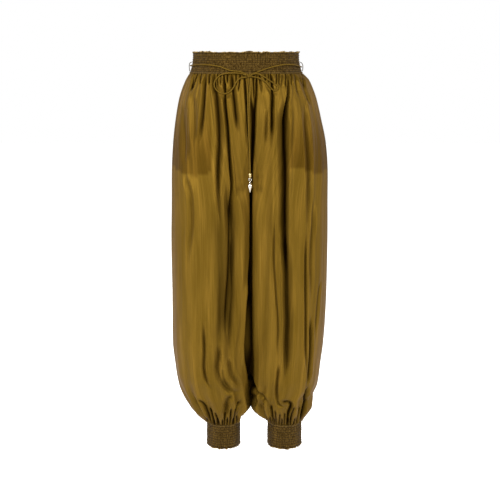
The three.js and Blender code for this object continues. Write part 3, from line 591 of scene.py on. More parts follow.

# Folds of the front: widths left and right of the valley in pixels, depth in mm, painted shade, points in
# pixels
FRONT_FOLDS = [
    (1.6, 1.6, 7, 0.8, (205.5, 74), (204, 88), (203.5, 97), (203, 104), (202, 115), (201, 125), (199.5, 135),
     (198, 148)),
    (1.5, 3.5, 12, 0.75, (213.5, 74), (213.5, 88), (215, 95), (216, 104), (217, 114), (218, 128),
     (218.5, 142), (218, 158), (217.5, 172), (218, 190), (219, 206), (221, 222), (222, 245)),
    (1.3, 1.3, 13, 1.0, (223.5, 74), (224.5, 86), (224.5, 96), (225, 106), (226, 116), (227.5, 130),
     (229, 150), (230.5, 168), (232, 184), (233, 200), (234, 216), (234, 238)),
    (1.8, 2.6, 9, 0.75, (231.5, 74), (232.5, 90), (234, 102), (235, 112), (236.5, 124), (238, 142)),
    (1.1, 1.1, 10, 0.9, (244.5, 76), (245.5, 90), (246.5, 105), (247.3, 118), (248.2, 132), (249.2, 148),
     (250, 165), (250.5, 184)),
    (1.6, 1.0, 10, 0.9, (256.8, 76), (256.6, 90), (256, 100), (254.8, 112), (254, 122), (253.3, 134),
     (252.5, 148), (252, 166)),
    (1.0, 1.0, 4, 0.5, (261, 77), (262, 95)),
    (2.0, 1.4, 11, 0.95, (272, 76), (273, 92), (273, 102), (272.5, 112), (272.5, 122), (272, 134),
     (270.5, 154)),
    (1.5, 1.5, 4, 0.35, (268, 108), (266.5, 126), (265, 150)),
    (1.2, 1.2, 9, 0.95, (288.5, 74), (289, 92), (288, 102), (287, 112), (285.5, 124), (284.5, 142)),
    (5.0, 2.6, 22, 0.95, (288, 92), (286.5, 114), (285.6, 134), (285.2, 150), (285.4, 168), (285, 186),
     (284.5, 204), (284.5, 222), (285, 240), (285.5, 262), (285.5, 284)),
    (1.8, 5.0, 18, 0.7, (283, 226), (283.5, 246), (285, 266), (285.4, 284), (285.6, 304), (286.2, 322),
     (285.6, 340), (285.6, 358), (285.4, 374), (284, 390)),
    (1.0, 1.0, 4, 0.6, (283, 74), (281, 89)),
    (1.3, 1.3, 4, 0.5, (295, 74), (297, 84), (299, 98)),
    (1.4, 1.4, 4, 0.4, (300, 77), (306, 92), (313, 109)),
    (2.6, 2.0, 7, 0.45, (305, 98), (308, 130), (309.3, 150), (310, 170), (310, 190), (309, 215),
     (307.5, 244)),
    (1.2, 1.4, 6, 0.65, (307.5, 224), (306, 255), (305.8, 280), (306, 305), (306, 330), (306, 350),
     (306.8, 368), (306.5, 388)),
    (1.8, 1.8, 5, 0.4, (314, 198), (314, 225), (312.5, 240), (311.5, 262), (312, 285), (311, 312)),
    (1.2, 1.2, 4, 0.5, (322, 280), (319, 302), (317.5, 320), (315, 342)),
    (2.0, 2.0, 5, 0.3, (183, 174), (187, 186), (190, 197), (191, 212), (191, 224), (190, 238), (188.5, 252),
     (186.5, 274)),
    (3.0, 3.0, 3.5, 0.22, (181, 104), (183, 135), (183.5, 170)),
    (2.5, 2.5, 3.5, 0.22, (192, 94), (193, 120), (193, 148)),
    # Ridges that stand forward beside the gap between the legs
    (5.0, 1.8, -8, 0.0, (243.5, 96), (245, 120), (246, 145), (246.5, 175), (246.5, 205), (246, 235),
     (245.5, 265), (243.5, 295), (242.5, 325), (242.5, 350), (244, 375)),
    (1.8, 5.0, -8, 0.0, (259.5, 92), (258.5, 110), (257.5, 135), (256.5, 160), (255.5, 190), (255.5, 220),
     (255.5, 250), (255.5, 280), (255, 310), (254.5, 340), (254, 365), (255, 385)),
    # The full right leg below the knee line
    (7.5, 3.4, 19, 0.62, (226, 176), (231, 200), (234, 222), (234.6, 240), (234.4, 258), (233.4, 276),
     (232, 296), (231, 316), (230.4, 336), (230, 356), (231, 384)),
    (1.8, 1.5, 5, 0.5, (232, 196), (232.5, 222), (232, 250), (231, 278), (229, 300), (227.5, 322),
     (227, 345)),
    (5.0, 6.0, 9, 0.42, (217, 196), (218.5, 230), (220, 256), (221, 280), (221, 304), (221, 322), (219, 336),
     (219, 350), (219, 372)),
    (1.0, 1.0, 4, 0.3, (235.5, 226), (235, 258), (234.7, 284), (233.8, 304), (232.5, 322), (231, 342),
     (231, 362)),
    (2.8, 2.4, 10, 0.45, (218, 340), (219, 356), (217.5, 368), (220, 378), (224, 385), (229, 390.5),
     (236, 393.5), (244, 393)),
    (1.8, 1.8, 6, 0.3, (222, 368), (225, 382), (232, 390)),
    (2.0, 2.0, 6, 0.35, (229, 358), (232, 374), (236, 382), (242, 389)),
    (1.5, 1.5, 7, 0.55, (202.5, 316), (204, 342), (204.2, 355), (203.6, 366), (205, 376), (208.5, 385),
     (216, 391)),
    (2.6, 1.3, 24, 1.0, (251, 276), (248.8, 294), (247.5, 308), (247, 322), (246.8, 338), (246.8, 350),
     (247.6, 362), (248.6, 374), (249.8, 392)),
    (1.2, 1.2, 3, 0.3, (248.5, 224), (248.5, 258), (249.5, 286)),
    (2.5, 2.0, 7, 0.45, (233, 396), (228, 400.5), (226.5, 409), (224.2, 420)),
    (1.3, 1.3, 6, 0.9, (193, 399), (200, 409), (211, 427.5)),
    (1.5, 1.5, 6, 0.7, (198, 400), (205, 407), (213, 427.5)),
    (1.2, 1.2, 7, 1.0, (209.5, 407), (212.5, 416), (216, 427.5)),
    (1.0, 1.0, 6, 0.9, (215, 411), (218, 419), (220.5, 427.5)),
    (0.9, 0.9, 6, 0.9, (225.2, 412), (224.2, 427.5)),
    (1.0, 1.0, 6, 0.9, (231.4, 408), (230.5, 416), (229.6, 427.5)),
    (1.3, 1.3, 7, 1.0, (242, 402), (236.5, 409), (234.8, 415), (233.4, 427.5)),
    # The full left leg below the knee line
    (1.0, 1.0, 4.5, 0.5, (276, 198), (274.5, 228), (273.5, 248), (273.7, 266), (275, 284), (276, 300),
     (277.5, 316), (277.8, 332), (277.3, 346), (278, 358), (279.5, 374)),
    (1.4, 1.4, 7, 0.55, (279.5, 360), (277.5, 378), (276.5, 390), (277.5, 401), (281, 405.5), (287, 405)),
    (1.8, 1.2, 9, 0.9, (279, 400), (286, 401.5), (291, 403), (291.5, 407), (289, 413), (286, 427.5)),
    (2.4, 1.6, 7, 0.5, (250.5, 380), (252, 388), (256, 394), (262, 398), (267, 401.5), (270, 410)),
    (3.5, 3.5, 5, 0.25, (252, 398), (257, 405), (263, 413), (266, 422)),
    (1.8, 1.3, 9, 0.85, (311.5, 314), (311.5, 340), (311.3, 355), (310.5, 370), (309.5, 380), (306, 389)),
    (1.6, 1.3, 9, 1.0, (308.5, 388), (306, 400), (304.5, 408), (299.5, 427.5)),
    (1.0, 1.0, 6, 0.9, (270.4, 405), (272.3, 415), (273.2, 427.5)),
    (0.9, 0.9, 5, 0.8, (275, 409), (277, 427.5)),
    (0.9, 0.9, 5, 0.8, (280, 412), (279.2, 427.5)),
    (0.9, 0.9, 5, 0.8, (284.8, 412), (284, 427.5)),
    (1.1, 1.1, 6, 0.9, (294.3, 406), (291.5, 415), (289.7, 427.5)),
    (1.1, 1.1, 6, 0.9, (300.5, 408), (297.5, 416), (295.2, 427.5)),
    (1.2, 1.2, 6, 0.7, (307.5, 401), (303, 412), (297.5, 427.5)),
]
# Short gathers under the front's waist seam: x at the seam, x and y at the tip, in pixels; depth, painted
# shade
SHORT_GATHERS = [
    (194, 189, 93, 4, 0.8), (197, 190, 93, 3.5, 0.7), (200.5, 199.5, 86, 3, 0.6), (209.5, 209, 86, 3, 0.6),
    (217.5, 217, 90, 3.5, 0.6), (220.5, 221, 86, 2.5, 0.5), (227.5, 227.5, 84, 2.5, 0.5),
    (236, 236.5, 87, 3, 0.6), (240.5, 238, 94, 3, 0.5), (249, 248.5, 98, 3, 0.5),
    (253.3, 254, 102, 3.5, 0.6), (259.5, 260, 86, 2.5, 0.5), (265, 265.5, 84, 2.5, 0.5),
    (268.5, 268.5, 85, 2.5, 0.5), (270.5, 271, 84, 3, 0.6), (277, 276, 88, 3, 0.5), (279.5, 279, 87, 3, 0.6),
    (286, 286, 89, 3, 0.6), (291.5, 291.5, 87, 2.5, 0.5), (303, 306, 90, 3, 0.4),
]
# The same above the cuffs
CUFF_GATHERED = [
    (209.5, 207, 416, 3, 0.6), (214.6, 213.5, 417, 3, 0.7), (218.3, 217.5, 416, 3, 0.7),
    (222.4, 222.6, 418, 3, 0.7), (226.8, 227.4, 416, 3, 0.7), (231.8, 233, 417, 3, 0.7),
    (235.6, 237.6, 415, 3, 0.7), (238.6, 241, 416, 3, 0.6), (268.6, 266.6, 416, 3, 0.6),
    (271.2, 270, 415, 3, 0.7), (275, 274.4, 417, 3, 0.7), (281.8, 282, 416, 3, 0.7),
    (287.6, 288.8, 417, 3, 0.7), (292.4, 294.6, 416, 3, 0.7), (298.6, 301, 417, 3, 0.6),
]
# Rows of pixels at which the two gathered seams are seen
WAIST_SEAM_ROW = 73
CUFF_SEAM_ROW = 427.5
# Width of a short gather in pixels, and how much deeper than its table it is and how much more shade is
# painted in it
SHORT_WIDTH = 0.85
SHORT_DEPTH = 1.8
SHORT_SHADE = 1.9


def drawn_folds():
    """The folds and short gathers of the front, with their sizes and points in millimetres."""
    folds = [(left * PIXEL, right * PIXEL, depth, shade, [seen(*p) for p in points])
             for left, right, depth, shade, *points in FRONT_FOLDS]
    width = SHORT_WIDTH * PIXEL
    for seam, rows in ((WAIST_SEAM_ROW, SHORT_GATHERS), (CUFF_SEAM_ROW, CUFF_GATHERED)):
        for x, tip_x, tip_y, depth, shade in rows:
            points = [seen(x, seam), seen(mix(x, tip_x, 0.5), mix(seam, tip_y, 0.5)), seen(tip_x, tip_y)]
            folds.append((width, width, SHORT_DEPTH * depth, SHORT_SHADE * shade, points))
    return folds


def long_fold(top, bottom, values, width, depth):
    """A fold of the back that runs down through x values spaced evenly from top to bottom."""
    heights = np.linspace(top, bottom, len(values))
    # Painted shade that grows with the depth of the fold
    return width, width, depth, min(0.045 * depth, 0.85), list(zip(values, heights))


# Folds of the back: alike but not mirrored
BACK_FOLDS = [
    long_fold(-26, -260, (-108, -112, -118), 6, 7),
    long_fold(-26, -520, (-84, -90, -80, -86), 9, 13),
    long_fold(-26, -800, (-44, -50, -46, -38, -48, -52), 9, 18),
    long_fold(-26, -210, (-18, -14, -16), 6, 10),
    long_fold(-26, -280, (34, 42, 38), 7, 11),
    long_fold(-26, -820, (72, 80, 88, 78, 84, 90), 11, 18),
    long_fold(-26, -240, (110, 116, 112), 6, 8),
    long_fold(-90, -700, (142, 150, 146, 152), 10, 9),
    long_fold(-330, -820, (-120, -128, -118, -112), 10, 9),
    long_fold(-420, -820, (118, 124, 116), 9, 8),
    long_fold(-140, -600, (-150, -156, -150), 9, 5),
    (10, 10, 9, 0.5, [(-70, -640), (-82, -720), (-66, -790), (-34, -836)]),
    (8, 8, 8, 0.5, [(-128, -700), (-118, -790), (-84, -840)]),
    (7, 7, 7, 0.5, [(-40, -770), (-20, -820), (0, -846)]),
    (6, 6, 7, 0.5, [(-100, -850), (-86, -884), (-78, -912)]),
    (9, 9, 9, 0.5, [(96, -690), (104, -770), (86, -830), (70, -858)]),
    (7, 7, 8, 0.5, [(150, -640), (158, -760), (142, -850), (132, -890)]),
    (8, 8, 8, 0.5, [(36, -740), (44, -810), (68, -850)]),
    (7, 7, 8, 0.5, [(22, -826), (44, -856), (60, -898)]),
]
SIDES = {
    "right": {"sign": -1, "edge": RIGHT, "inseam": 1, "seed": 100},
    "left": {"sign": 1, "edge": LEFT, "inseam": 2, "seed": 180},
}
FACES = {
    "front": {"sign": -1, "depth": FRONT, "folds": drawn_folds(), "gathered": 0.0, "columns": 200, "seed": 0},
    "back": {"sign": 1, "depth": BACK, "folds": BACK_FOLDS, "gathered": 1.0, "columns": 150, "seed": 40},
}

# Lower edge of each pocket bag's painted shadow, from its outer to its inner side, and where the bag ends
# towards the middle
POCKET_EDGES = {
    "right": [(-186, -250), (-170, -262), (-148, -273), (-121, -275), (-97, -269), (-82, -262)],
    "left": [(105, -252), (120, -254), (141, -258), (168, -268), (178, -270), (206, -262)],
}
POCKET_INNER = {"right": -82.0, "left": 105.0}


def leg_share(z):
    """How far the section has gone over from one body into two legs."""
    return smooth((BLEND_TOP - z) / (BLEND_TOP - CROTCH))


def middle(z):
    """Where the middle line between the legs stands."""
    return at(MIDDLE, 1, z)


def section_point(side, face, u, z):
    """Smooth section of one panel: u runs from the side seam (0) to the centre seam or inseam (1)."""
    outer = at(BODY_SECTIONS, side["edge"], z)
    depth = at(BODY_SECTIONS, face["depth"], z)
    centre = middle(z)
    inner = np.where(z < CROTCH, at(INSEAM, side["inseam"], z), centre)
    share = leg_share(z)
    torso_x = centre + (outer - centre) * np.cos(u * PI / 2)
    torso_y = depth * np.sin(u * PI / 2)
    turn = np.cos(u * PI)
    across = np.sign(turn) * np.abs(turn) ** FULLNESS
    leg_x = (outer + inner) / 2 + (outer - inner) / 2 * across
    fullness = mix(FULLNESS, INNER_FULLNESS, smooth(2 * u - 1))
    leg_y = depth * np.abs(np.sin(u * PI)) ** fullness
    return mix(torso_x, leg_x, share), face["sign"] * mix(torso_y, leg_y, share)


def outward(side, face, u, z):
    """The level direction that leads straight out of the panel."""
    step = 0.004
    x1, y1 = section_point(side, face, np.maximum(u - step, 0), z)
    x2, y2 = section_point(side, face, np.minimum(u + step, 1), z)
    length = np.hypot(x2 - x1, y2 - y1)
    turn = side["sign"] * face["sign"]
    return -turn * (y1 - y2) / length, -turn * (x2 - x1) / length


# Shape of a fold: the crests beside its valley, how its ends taper, and how steep its sides are
CREST = 0.24
CREST_PLACE = 1.9
CREST_WIDTH = 0.8
TAPER = 0.16
SHARPNESS = 1.6
# Height over which a gathered edge leaves its seam line, in mm
SEWN_HEIGHT = 4.5
# How far each seamed edge lies over the middle of its seam, in mm
SEAM_OVERLAP = 0.06


def soft_line(points):
    """The points of a fold with three smooth steps between each two."""
    steps = np.linspace(0, 1, 3 * (len(points) - 1) + 1)
    return through([x for x, _ in points], steps), through([z for _, z in points], steps)


def close_to(x, z, line_x, line_z, reach):
    """Which places lie in the box round a line, widened by the reach."""
    return ((x > line_x.min() - reach) & (x < line_x.max() + reach)
            & (z > line_z.min() - reach) & (z < line_z.max() + reach))


def fold_depth(folds, x, z):
    """Depth of all the folds at each place, and how much shade is painted on the cloth there."""
    depth_sum = np.zeros_like(x)
    shade_sum = np.zeros_like(x)
    for left, right, depth, shade, points in folds:
        line_x, line_z = soft_line(points)
        near = close_to(x, z, line_x, line_z, 4 * max(left, right))
        if not near.any():
            continue
        px, pz = x[near], z[near]
        best = np.full(px.shape, 1e9)
        place = np.zeros(px.shape)
        side = np.zeros(px.shape)
        for i in range(len(line_x) - 1):
            dx, dz = line_x[i + 1] - line_x[i], line_z[i + 1] - line_z[i]
            f = np.clip(((px - line_x[i]) * dx + (pz - line_z[i]) * dz) / (dx * dx + dz * dz), 0, 1)
            ax, az = px - line_x[i] - f * dx, pz - line_z[i] - f * dz
            away = np.hypot(ax, az)
            nearer = away < best
            best = np.where(nearer, away, best)
            place = np.where(nearer, (i + f) / (len(line_x) - 1), place)
            side = np.where(nearer, np.sign(ax * -dz + az * dx), side)
        width = np.where(side < 0, left, right)
        sewn_first = line_z[0] > WAIST_SEAM - 12 or line_z[0] < CUFF_SEAM + 12
        sewn_last = line_z[-1] < CUFF_SEAM + 12
        first_end = smooth(place / TAPER + (0.5 if sewn_first else 0))
        last_end = smooth((1 - place) / (2 * TAPER) + (0.7 if sewn_last else 0))
        ends = first_end * last_end
        narrow = width * (0.55 + 0.45 * smooth(place / TAPER + 0.2) * smooth((1 - place) / (2 * TAPER)))
        across = best / narrow
        crest = np.exp(-((across - CREST_PLACE) / CREST_WIDTH) ** 2)
        depth_sum[near] += depth * ends * (np.exp(-across ** SHARPNESS) - CREST * crest)
        # The painted shade of a narrow fold has a sharp dark line in it, that of a wide one is evenly dark
        sharp = np.clip(1.6 - max(left, right) / 10, 0, 1)
        core = mix(0.95, 0.55, sharp) * np.exp(-across ** 2) + 0.85 * sharp * np.exp(-(across / 0.45) ** 2)
        shade_sum[near] += shade * ends * core
    return depth_sum, np.clip(shade_sum, 0, 1)


# Gathers: short pointed valleys that start at the seam, uneven in place, length and depth
# Each kind: how many in a panel, length and depth in mm, width as a share of their spacing
WAIST_GATHERS = [(15, 76, 10.5, 0.15), (30, 26, 3.4, 0.20)]
CUFF_GATHERS = [(9, 46, 8.5, 0.17), (18, 20, 2.6, 0.2)]


def gathers(u, below, count, length, depth, width, seed):
    """Depth of the gathers at a distance below their seam."""
    chance = np.random.default_rng(seed)
    total = np.zeros(np.broadcast(u, below).shape)
    for k in range(count):
        place = (k + 0.5 + chance.uniform(-0.3, 0.3)) / count
        reach = length * chance.uniform(0.55, 1.6)
        deep = depth * chance.uniform(0.6, 1.25)
        lean = chance.uniform(-0.25, 0.25) / count
        across = np.abs(u - place - lean * below / reach) * count
        t = np.clip(below / reach, 0, 1)
        open_ = smooth(below / 8 + 0.45) * smooth(1 - t) ** 0.8
        spread = width * (0.75 + 0.8 * np.sin(PI * np.minimum(1.4 * t, 1)))
        total += deep * np.exp(-(across / spread) ** 1.5) * open_
    return total


def gather_valleys(u, z, seed):
    """Long and short gathers below the waist seam and above the cuff's seam."""
    kinds = [(WAIST_SEAM - z, kind) for kind in WAIST_GATHERS]
    kinds += [(z - CUFF_SEAM, kind) for kind in CUFF_GATHERS]
    return sum(gathers(u, away, *kind, seed + k) for k, (away, kind) in enumerate(kinds))


def gather_swell(u, z, seed):
    """How far the gathered cloth stands out near its seams, with broad folds above the cuff."""
    below = WAIST_SEAM - z
    waist = 1.6 * smooth((95 - below) / 95) * smooth(below / 14 + 0.3)
    above = z - CUFF_SEAM
    cuff = 2.4 * smooth((70 - above) / 70)
    broad = 5.5 * smooth(above / 45) * smooth((140 - above) / 90)
    folds = np.cos(2 * PI * (7 * u + 0.5 + 0.2 * noise(u * 5, above / 80, seed + 3)))
    return waist + cuff + broad * folds


def drape(u, z, seed):
    """Long soft streaks and slight unevenness of hanging satin."""
    s = u * 360
    lean = 5 * noise(s / 120, z / 420, seed)
    long_ = (0.6 + 0.7 * smooth((-60 - z) / 80)) * noise((s + lean) / 23, z / 420, seed + 1)
    fine = (0.25 + 0.35 * smooth((z + 260) / 160)) * noise((s + lean) / 7, z / 260, seed + 2)
    low = 1.6 * noise(s / 34, z / 60, seed + 3) * smooth((-690 - z) / 90)
    crinkle = 0.35 * noise(s / 9, z / 16, seed + 4) * (0.35 + 0.65 * smooth((-780 - z) / 80))
    return long_ + fine + low + crinkle


def panel_point(side, face, u, z, inside, seed):
    """A point of the panel, let in by the given distance from its outer face."""
    x, y = section_point(side, face, u, z)
    nx, ny = outward(side, face, u, z)
    side_fade = smooth(u / 0.05)
    middle_fade = mix(smooth((1 - u) / 0.04), smooth((1 - u) / 0.16), leg_share(z))
    # Both gathered edges lie on the seam line of the band and the cuff, so that no gap opens there
    sewn = smooth((WAIST_SEAM - z) / SEWN_HEIGHT) * smooth((z - CUFF_SEAM) / SEWN_HEIGHT)
    valleys, dark = fold_depth(face["folds"], x, z)
    pinched = face["gathered"] * gather_valleys(u, z, seed)
    near_middle = smooth((1 - u) / 0.03)
    full = middle_fade * (gather_swell(u, z, seed) + drape(u, z, seed + 20))
    swell = side_fade * (full - near_middle * valleys)
    swell = sewn * (swell - side_fade * middle_fade * pinched)
    # Painted shade in the folds and in the gathers of the back
    shaded = side_fade * np.clip(dark + middle_fade * smooth(pinched / 7), 0, 1)
    # Painted shade in the narrow gap between the legs at the front
    painted_gap_width = mix(2.5, 7, smooth((-60 - z) / 90))
    painted_gap_shade = np.exp(-np.abs((x - middle(z)) / painted_gap_width) ** 3) * smooth((-50 - z) / 50) * (face["sign"] < 0)
    shaded = np.clip(shaded + painted_gap_shade, 0, 1)
    centre_crease = np.where(z >= CROTCH, 0.8, 0)
    seam = 0.8 * np.exp(-(u * 150) ** 2) + centre_crease * np.exp(-((1 - u) * 150) ** 2)
    move = swell - seam - inside
    px, py = x + nx * move, y + ny * move
    # Seamed edges lie a little over each other, and no light comes through
    half = -SEAM_OVERLAP
    first = u < 1e-9
    last = u > 1 - 1e-9
    upper = last & (z >= CROTCH)
    lower = last & (z < CROTCH)
    px = np.where(first, x - side["sign"] * inside, px)
    py = np.where(first, face["sign"] * half, py)
    seam_y = np.maximum(np.abs(y), half + WALL)
    px = np.where(upper, middle(z) + side["sign"] * half, px)
    py = np.where(upper, face["sign"] * (seam_y - inside), py)
    px = np.where(lower, x + side["sign"] * inside, px)
    py = np.where(lower, face["sign"] * half, py)
    return px, py, shaded


# Front of the garment: what hangs on it, as points in millimetres, and the room the cloth leaves behind each
HANGING = [strings[node][1] / MM
           for node in ("bow_loop_right", "bow_loop_left", "cord_end_front", "cord_end_rear")]
LYING = [(path, CORD_RADIUS / MM + 0.3) for path in HANGING]
BEAD_ROOM = 4.3
RING_ROOM = 4.5
CHARM_ROOM = 6.6
for x, y, z in HINGES.values():
    LYING.append((np.array([(x, y, z + BEAD_DROP - 11 * k / 6) for k in range(7)]), BEAD_ROOM))
    LYING.append((np.array([(x, y, z - 1 - k) for k in range(7)]), RING_ROOM))
    LYING.append((np.array([(x, y, z - 13 - 2 * k) for k in range(9)]), CHARM_ROOM))


def pressed_in(x, y, z, inside):
    """The cloth of the front gives way behind the drawstring and its metal."""
    y = y.copy()
    for path, room in LYING:
        near = close_to(x, z, path[:, 0], path[:, 2], 12)
        px, py, pz = x[near], y[near], z[near]
        across = np.hypot(px[:, None] - path[None, :, 0], pz[:, None] - path[None, :, 2])
        limit = path[None, :, 1] + room + inside - 0.10 * np.maximum(across - room, 0) ** 2
        y[near] = np.maximum(py, limit.max(axis=1))
    return y


# The painted shadow below a cord: its depth, its width and how far under the cord it lies, in mm
CORD_SHADE = 0.65
CORD_SHADE_WIDTH = 2.3
CORD_SHADE_DROP = 1.1


def painted_cord_shadow(x, z, paths):
    """How much painted shadow the drawstring lays on the cloth right below it."""
    dark = np.zeros_like(x)
    for path in paths:
        near = close_to(x, z, path[:, 0], path[:, 2], 10)
        dx = x[near][:, None] - path[None, :, 0]
        dz = z[near][:, None] + CORD_SHADE_DROP - path[None, :, 2]
        away = np.hypot(dx, dz).min(axis=1)
        dark[near] = np.maximum(dark[near], CORD_SHADE * np.exp(-(away / CORD_SHADE_WIDTH) ** 2))
    return dark


def panel_rows():
    """Heights of a panel's rows, closest together where the cloth is gathered."""
    waist = np.array([WAIST_SEAM, WAIST_SEAM - 1.2, WAIST_SEAM - 2.4])
    upper = np.linspace(WAIST_SEAM - 4, -110, 28, endpoint=False)
    middle_rows = np.linspace(-110, -700, 76, endpoint=False)
    lower = np.linspace(-700, -860, 34, endpoint=False)
    last = np.linspace(-860, CUFF_SEAM + 4, 26)
    cuff = np.array([CUFF_SEAM + 2.4, CUFF_SEAM + 1.2, CUFF_SEAM])
    return np.concatenate([waist, upper, middle_rows, lower, last, cuff])


def painted_pocket_shadow(side_name, x, z):
    """Painted shadow where the pocket bag lies behind the front and lets less light through it."""
    edge = np.array(sorted(POCKET_EDGES[side_name]), float)
    lowest = np.interp(x, edge[:, 0], edge[:, 1])
    beyond = SIDES[side_name]["sign"] * (x - POCKET_INNER[side_name])
    return smooth((z - lowest) / 2.5) * smooth(beyond / 4) * (0.25 + 0.75 * smooth((-90 - z) / 120))


# Width of the cloth of one panel in metres, over which its grain runs
CLOTH_WIDTH = 0.36
# A pocket bag: how far its faces lie behind the outer face of the front, its part of the front, its heights
BAG_LAYERS = (2.4, 2.9)
BAG_ACROSS = (1 / 42, 22 / 42)
BAG_HEIGHTS = (-60, -275)

for side_name, side in SIDES.items():
    for face_name, face in FACES.items():
        u, z = np.meshgrid(np.linspace(0, 1, face["columns"] + 1), panel_rows())
        layers = []
        for inside in (0.0, WALL):
            x, y, shaded = panel_point(side, face, u, z, inside, side["seed"] + face["seed"])
            if face_name == "front":
                y = pressed_in(x, y, z, inside)
                # Painted shadow below the cords that hang over the front
                shaded = np.maximum(shaded, painted_cord_shadow(x, z, HANGING))
            layers.append(np.stack([x, y, z], -1))
        # Painted shadow of the pocket bag behind the front
        mark = painted_pocket_shadow(side_name, x, z) if face_name == "front" else np.zeros_like(z)
        made = piece(f"{face_name}_panel_{side_name}", f"{face_name}_{side_name}",
                     *wall(layers, u * CLOTH_WIDTH, z, False), LEG_SATIN, "satin",
                     marks={"pocket": mark, "painted_shade": shaded})

    # Pocket bag, hung flat behind the front and finished plainly
    u, z = np.meshgrid(np.linspace(*BAG_ACROSS, 70), np.linspace(*BAG_HEIGHTS, 40))
    layers = [np.stack([*panel_point(side, FACES["front"], u, z, inside, side["seed"])[:2], z], -1)
              for inside in BAG_LAYERS]
    bag = piece(f"pocket_sack_{side_name}", f"pocket_bag_{side_name}",
                *wall(layers, u * CLOTH_WIDTH, z, False), BAG_SATIN, "satin_pocket")


# Shirred tubes: rows of elastic thread draw the cloth into puckers, with a free frill at one edge
SHIRRING_ROWS = 9
ROW_STEPS = 6
PUCKER_STEPS = 6
FRILL = 6.0
FRILL_STEPS = 7
PUCKER_SPACING = 5.0


def shirred_swell(turn, level, count, seed):
    """Height of the puckers; turn is 0 to 1 round the tube, level counts the rows."""
    drift = 0.30 * noise(turn * 24, level / 2.2, seed)
    ridge = 0.5 + 0.5 * np.cos(2 * PI * (turn * count + drift))
    size = 1 + 0.35 * noise(turn * count * 0.7, level * 1.0 + 0.5, seed + 1)
    puff = np.abs(np.sin(PI * level)) ** 0.7
    return size * (1.25 * puff * (0.3 + 0.7 * ridge) + 0.45 * ridge) - 0.2


def shirred_tube(name, node, ring, count, top, bottom, frill_up, seed, wave, notch=None):
    """A shirred tube of so many puckers; gives back the lines that its elastic rows follow."""
    body_top = top - FRILL if frill_up else top
    body_bottom = bottom if frill_up else bottom + FRILL
    levels = np.arange(SHIRRING_ROWS * ROW_STEPS + 1) / ROW_STEPS
    heights = mix(body_top, body_bottom, levels / SHIRRING_ROWS)
    free = np.linspace(1 / FRILL_STEPS, 1, FRILL_STEPS)
    if frill_up:
        parts = ((0 * free, levels), (body_top + FRILL * free[::-1], heights), (free[::-1], 0 * levels))
    else:
        parts = ((levels, SHIRRING_ROWS + 0 * free), (heights, body_bottom - FRILL * free),
                 (0 * levels, free))
    all_levels, all_heights, openness = (np.concatenate(part) for part in parts)
    columns = PUCKER_STEPS * count
    turn, level = np.meshgrid(np.arange(columns) / columns, all_levels)
    z = np.broadcast_to(all_heights[:, None], turn.shape)
    open_ = np.broadcast_to(openness[:, None], turn.shape)
    seam_level = SHIRRING_ROWS - 0.25 if frill_up else 0.25
    seam_ridge = np.exp(-((level - seam_level) / 0.2) ** 2) * (1 - open_)
    swell = shirred_swell(turn, level, count, seed)
    swell = swell + seam_ridge * (1.1 + 0.5 * noise(turn * count, 0.3, seed + 8))
    ripple = np.cos(2 * PI * (turn * count / 2 + 0.35 * noise(turn * 40, 0.5, seed + 3)))
    ripple = ripple + 0.6 * noise(turn * count * 0.5, open_, seed + 4)
    swell = swell * (1 - 0.5 * open_) + open_ * wave * ripple
    lift = open_ ** 2 * (1.5 * noise(turn * 46, 0.2, seed + 5) + 1.0 * noise(turn * 150, 0.7, seed + 6))
    if notch:
        lift = lift - open_ * 3.2 * np.exp(-((turn - notch) * 260) ** 2)
    z = z + lift * (1 if frill_up else -1)
    outer = np.stack(ring(turn * 2 * PI, z, swell), -1)
    inner = np.stack(ring(turn * 2 * PI, z, swell * (0.25 + 0.75 * open_) - 1.0 + 0.4 * open_), -1)
    # Painted shade in the grooves along the elastic rows and where the puckers sink
    painted_band_shade = (1 - np.abs(np.sin(PI * level)) ** 0.6) * (1 - open_)
    painted_band_shade = np.clip(0.75 * painted_band_shade + 0.4 * (0.4 - swell), 0, 1) * (1 - open_) * (1 - seam_ridge)
    if frill_up:
        # Painted shadow of the drawstring on the front of the waistband
        path = strings["drawstring_waist"][1]
        shade = 0.9 * painted_cord_shadow(outer[..., 0], z, [path[path[:, 1] < 0] / MM])
        painted_band_shade = np.maximum(painted_band_shade, (outer[..., 1] < 0) * shade)
    # The frayed frill edge is paler, in uneven spots
    edge = smooth((open_ - 0.5) / 0.5) * smooth(0.5 + 1.4 * noise(turn * 1.1 * count, open_ * 3, seed + 7))
    # Painted highlight along the lit seam ridge
    edge = np.clip(edge + 0.12 * seam_ridge, 0, 1)
    made = piece(name, node, *wall((outer, inner), turn * PUCKER_SPACING * count * MM, z, True), SHADED_BAND_SATIN,
                 "satin_smocked", marks={"painted_band_shade": painted_band_shade, "edge": edge})
    first = FRILL_STEPS if frill_up else 0
    return [outer[first + k * ROW_STEPS] * MM for k in range(SHIRRING_ROWS + 1)]


def waist_ring(angle, z, swell):
    """The ring of the waistband, an ellipse."""
    width = at(WAIST_SECTIONS, 1, z) + swell
    depth = at(WAIST_SECTIONS, 2, z) + swell
    return width * np.cos(angle), depth * np.sin(angle), z


def cuff_ring(side):
    """The ring of one cuff, which stands a little wider at its hem."""
    outer = at(BODY_SECTIONS, side["edge"], CUFF_SEAM)
    inner = at(INSEAM, side["inseam"], CUFF_SEAM)
    depth = at(BODY_SECTIONS, FRONT, CUFF_SEAM)
    half_width = abs(outer - inner) / 2

    def ring(angle, z, swell):
        reach = swell + 1.5 * smooth((-981 - z) / 12)
        return (outer + inner) / 2 + (half_width + reach) * np.cos(angle), (depth + reach) * np.sin(angle), z

    return ring


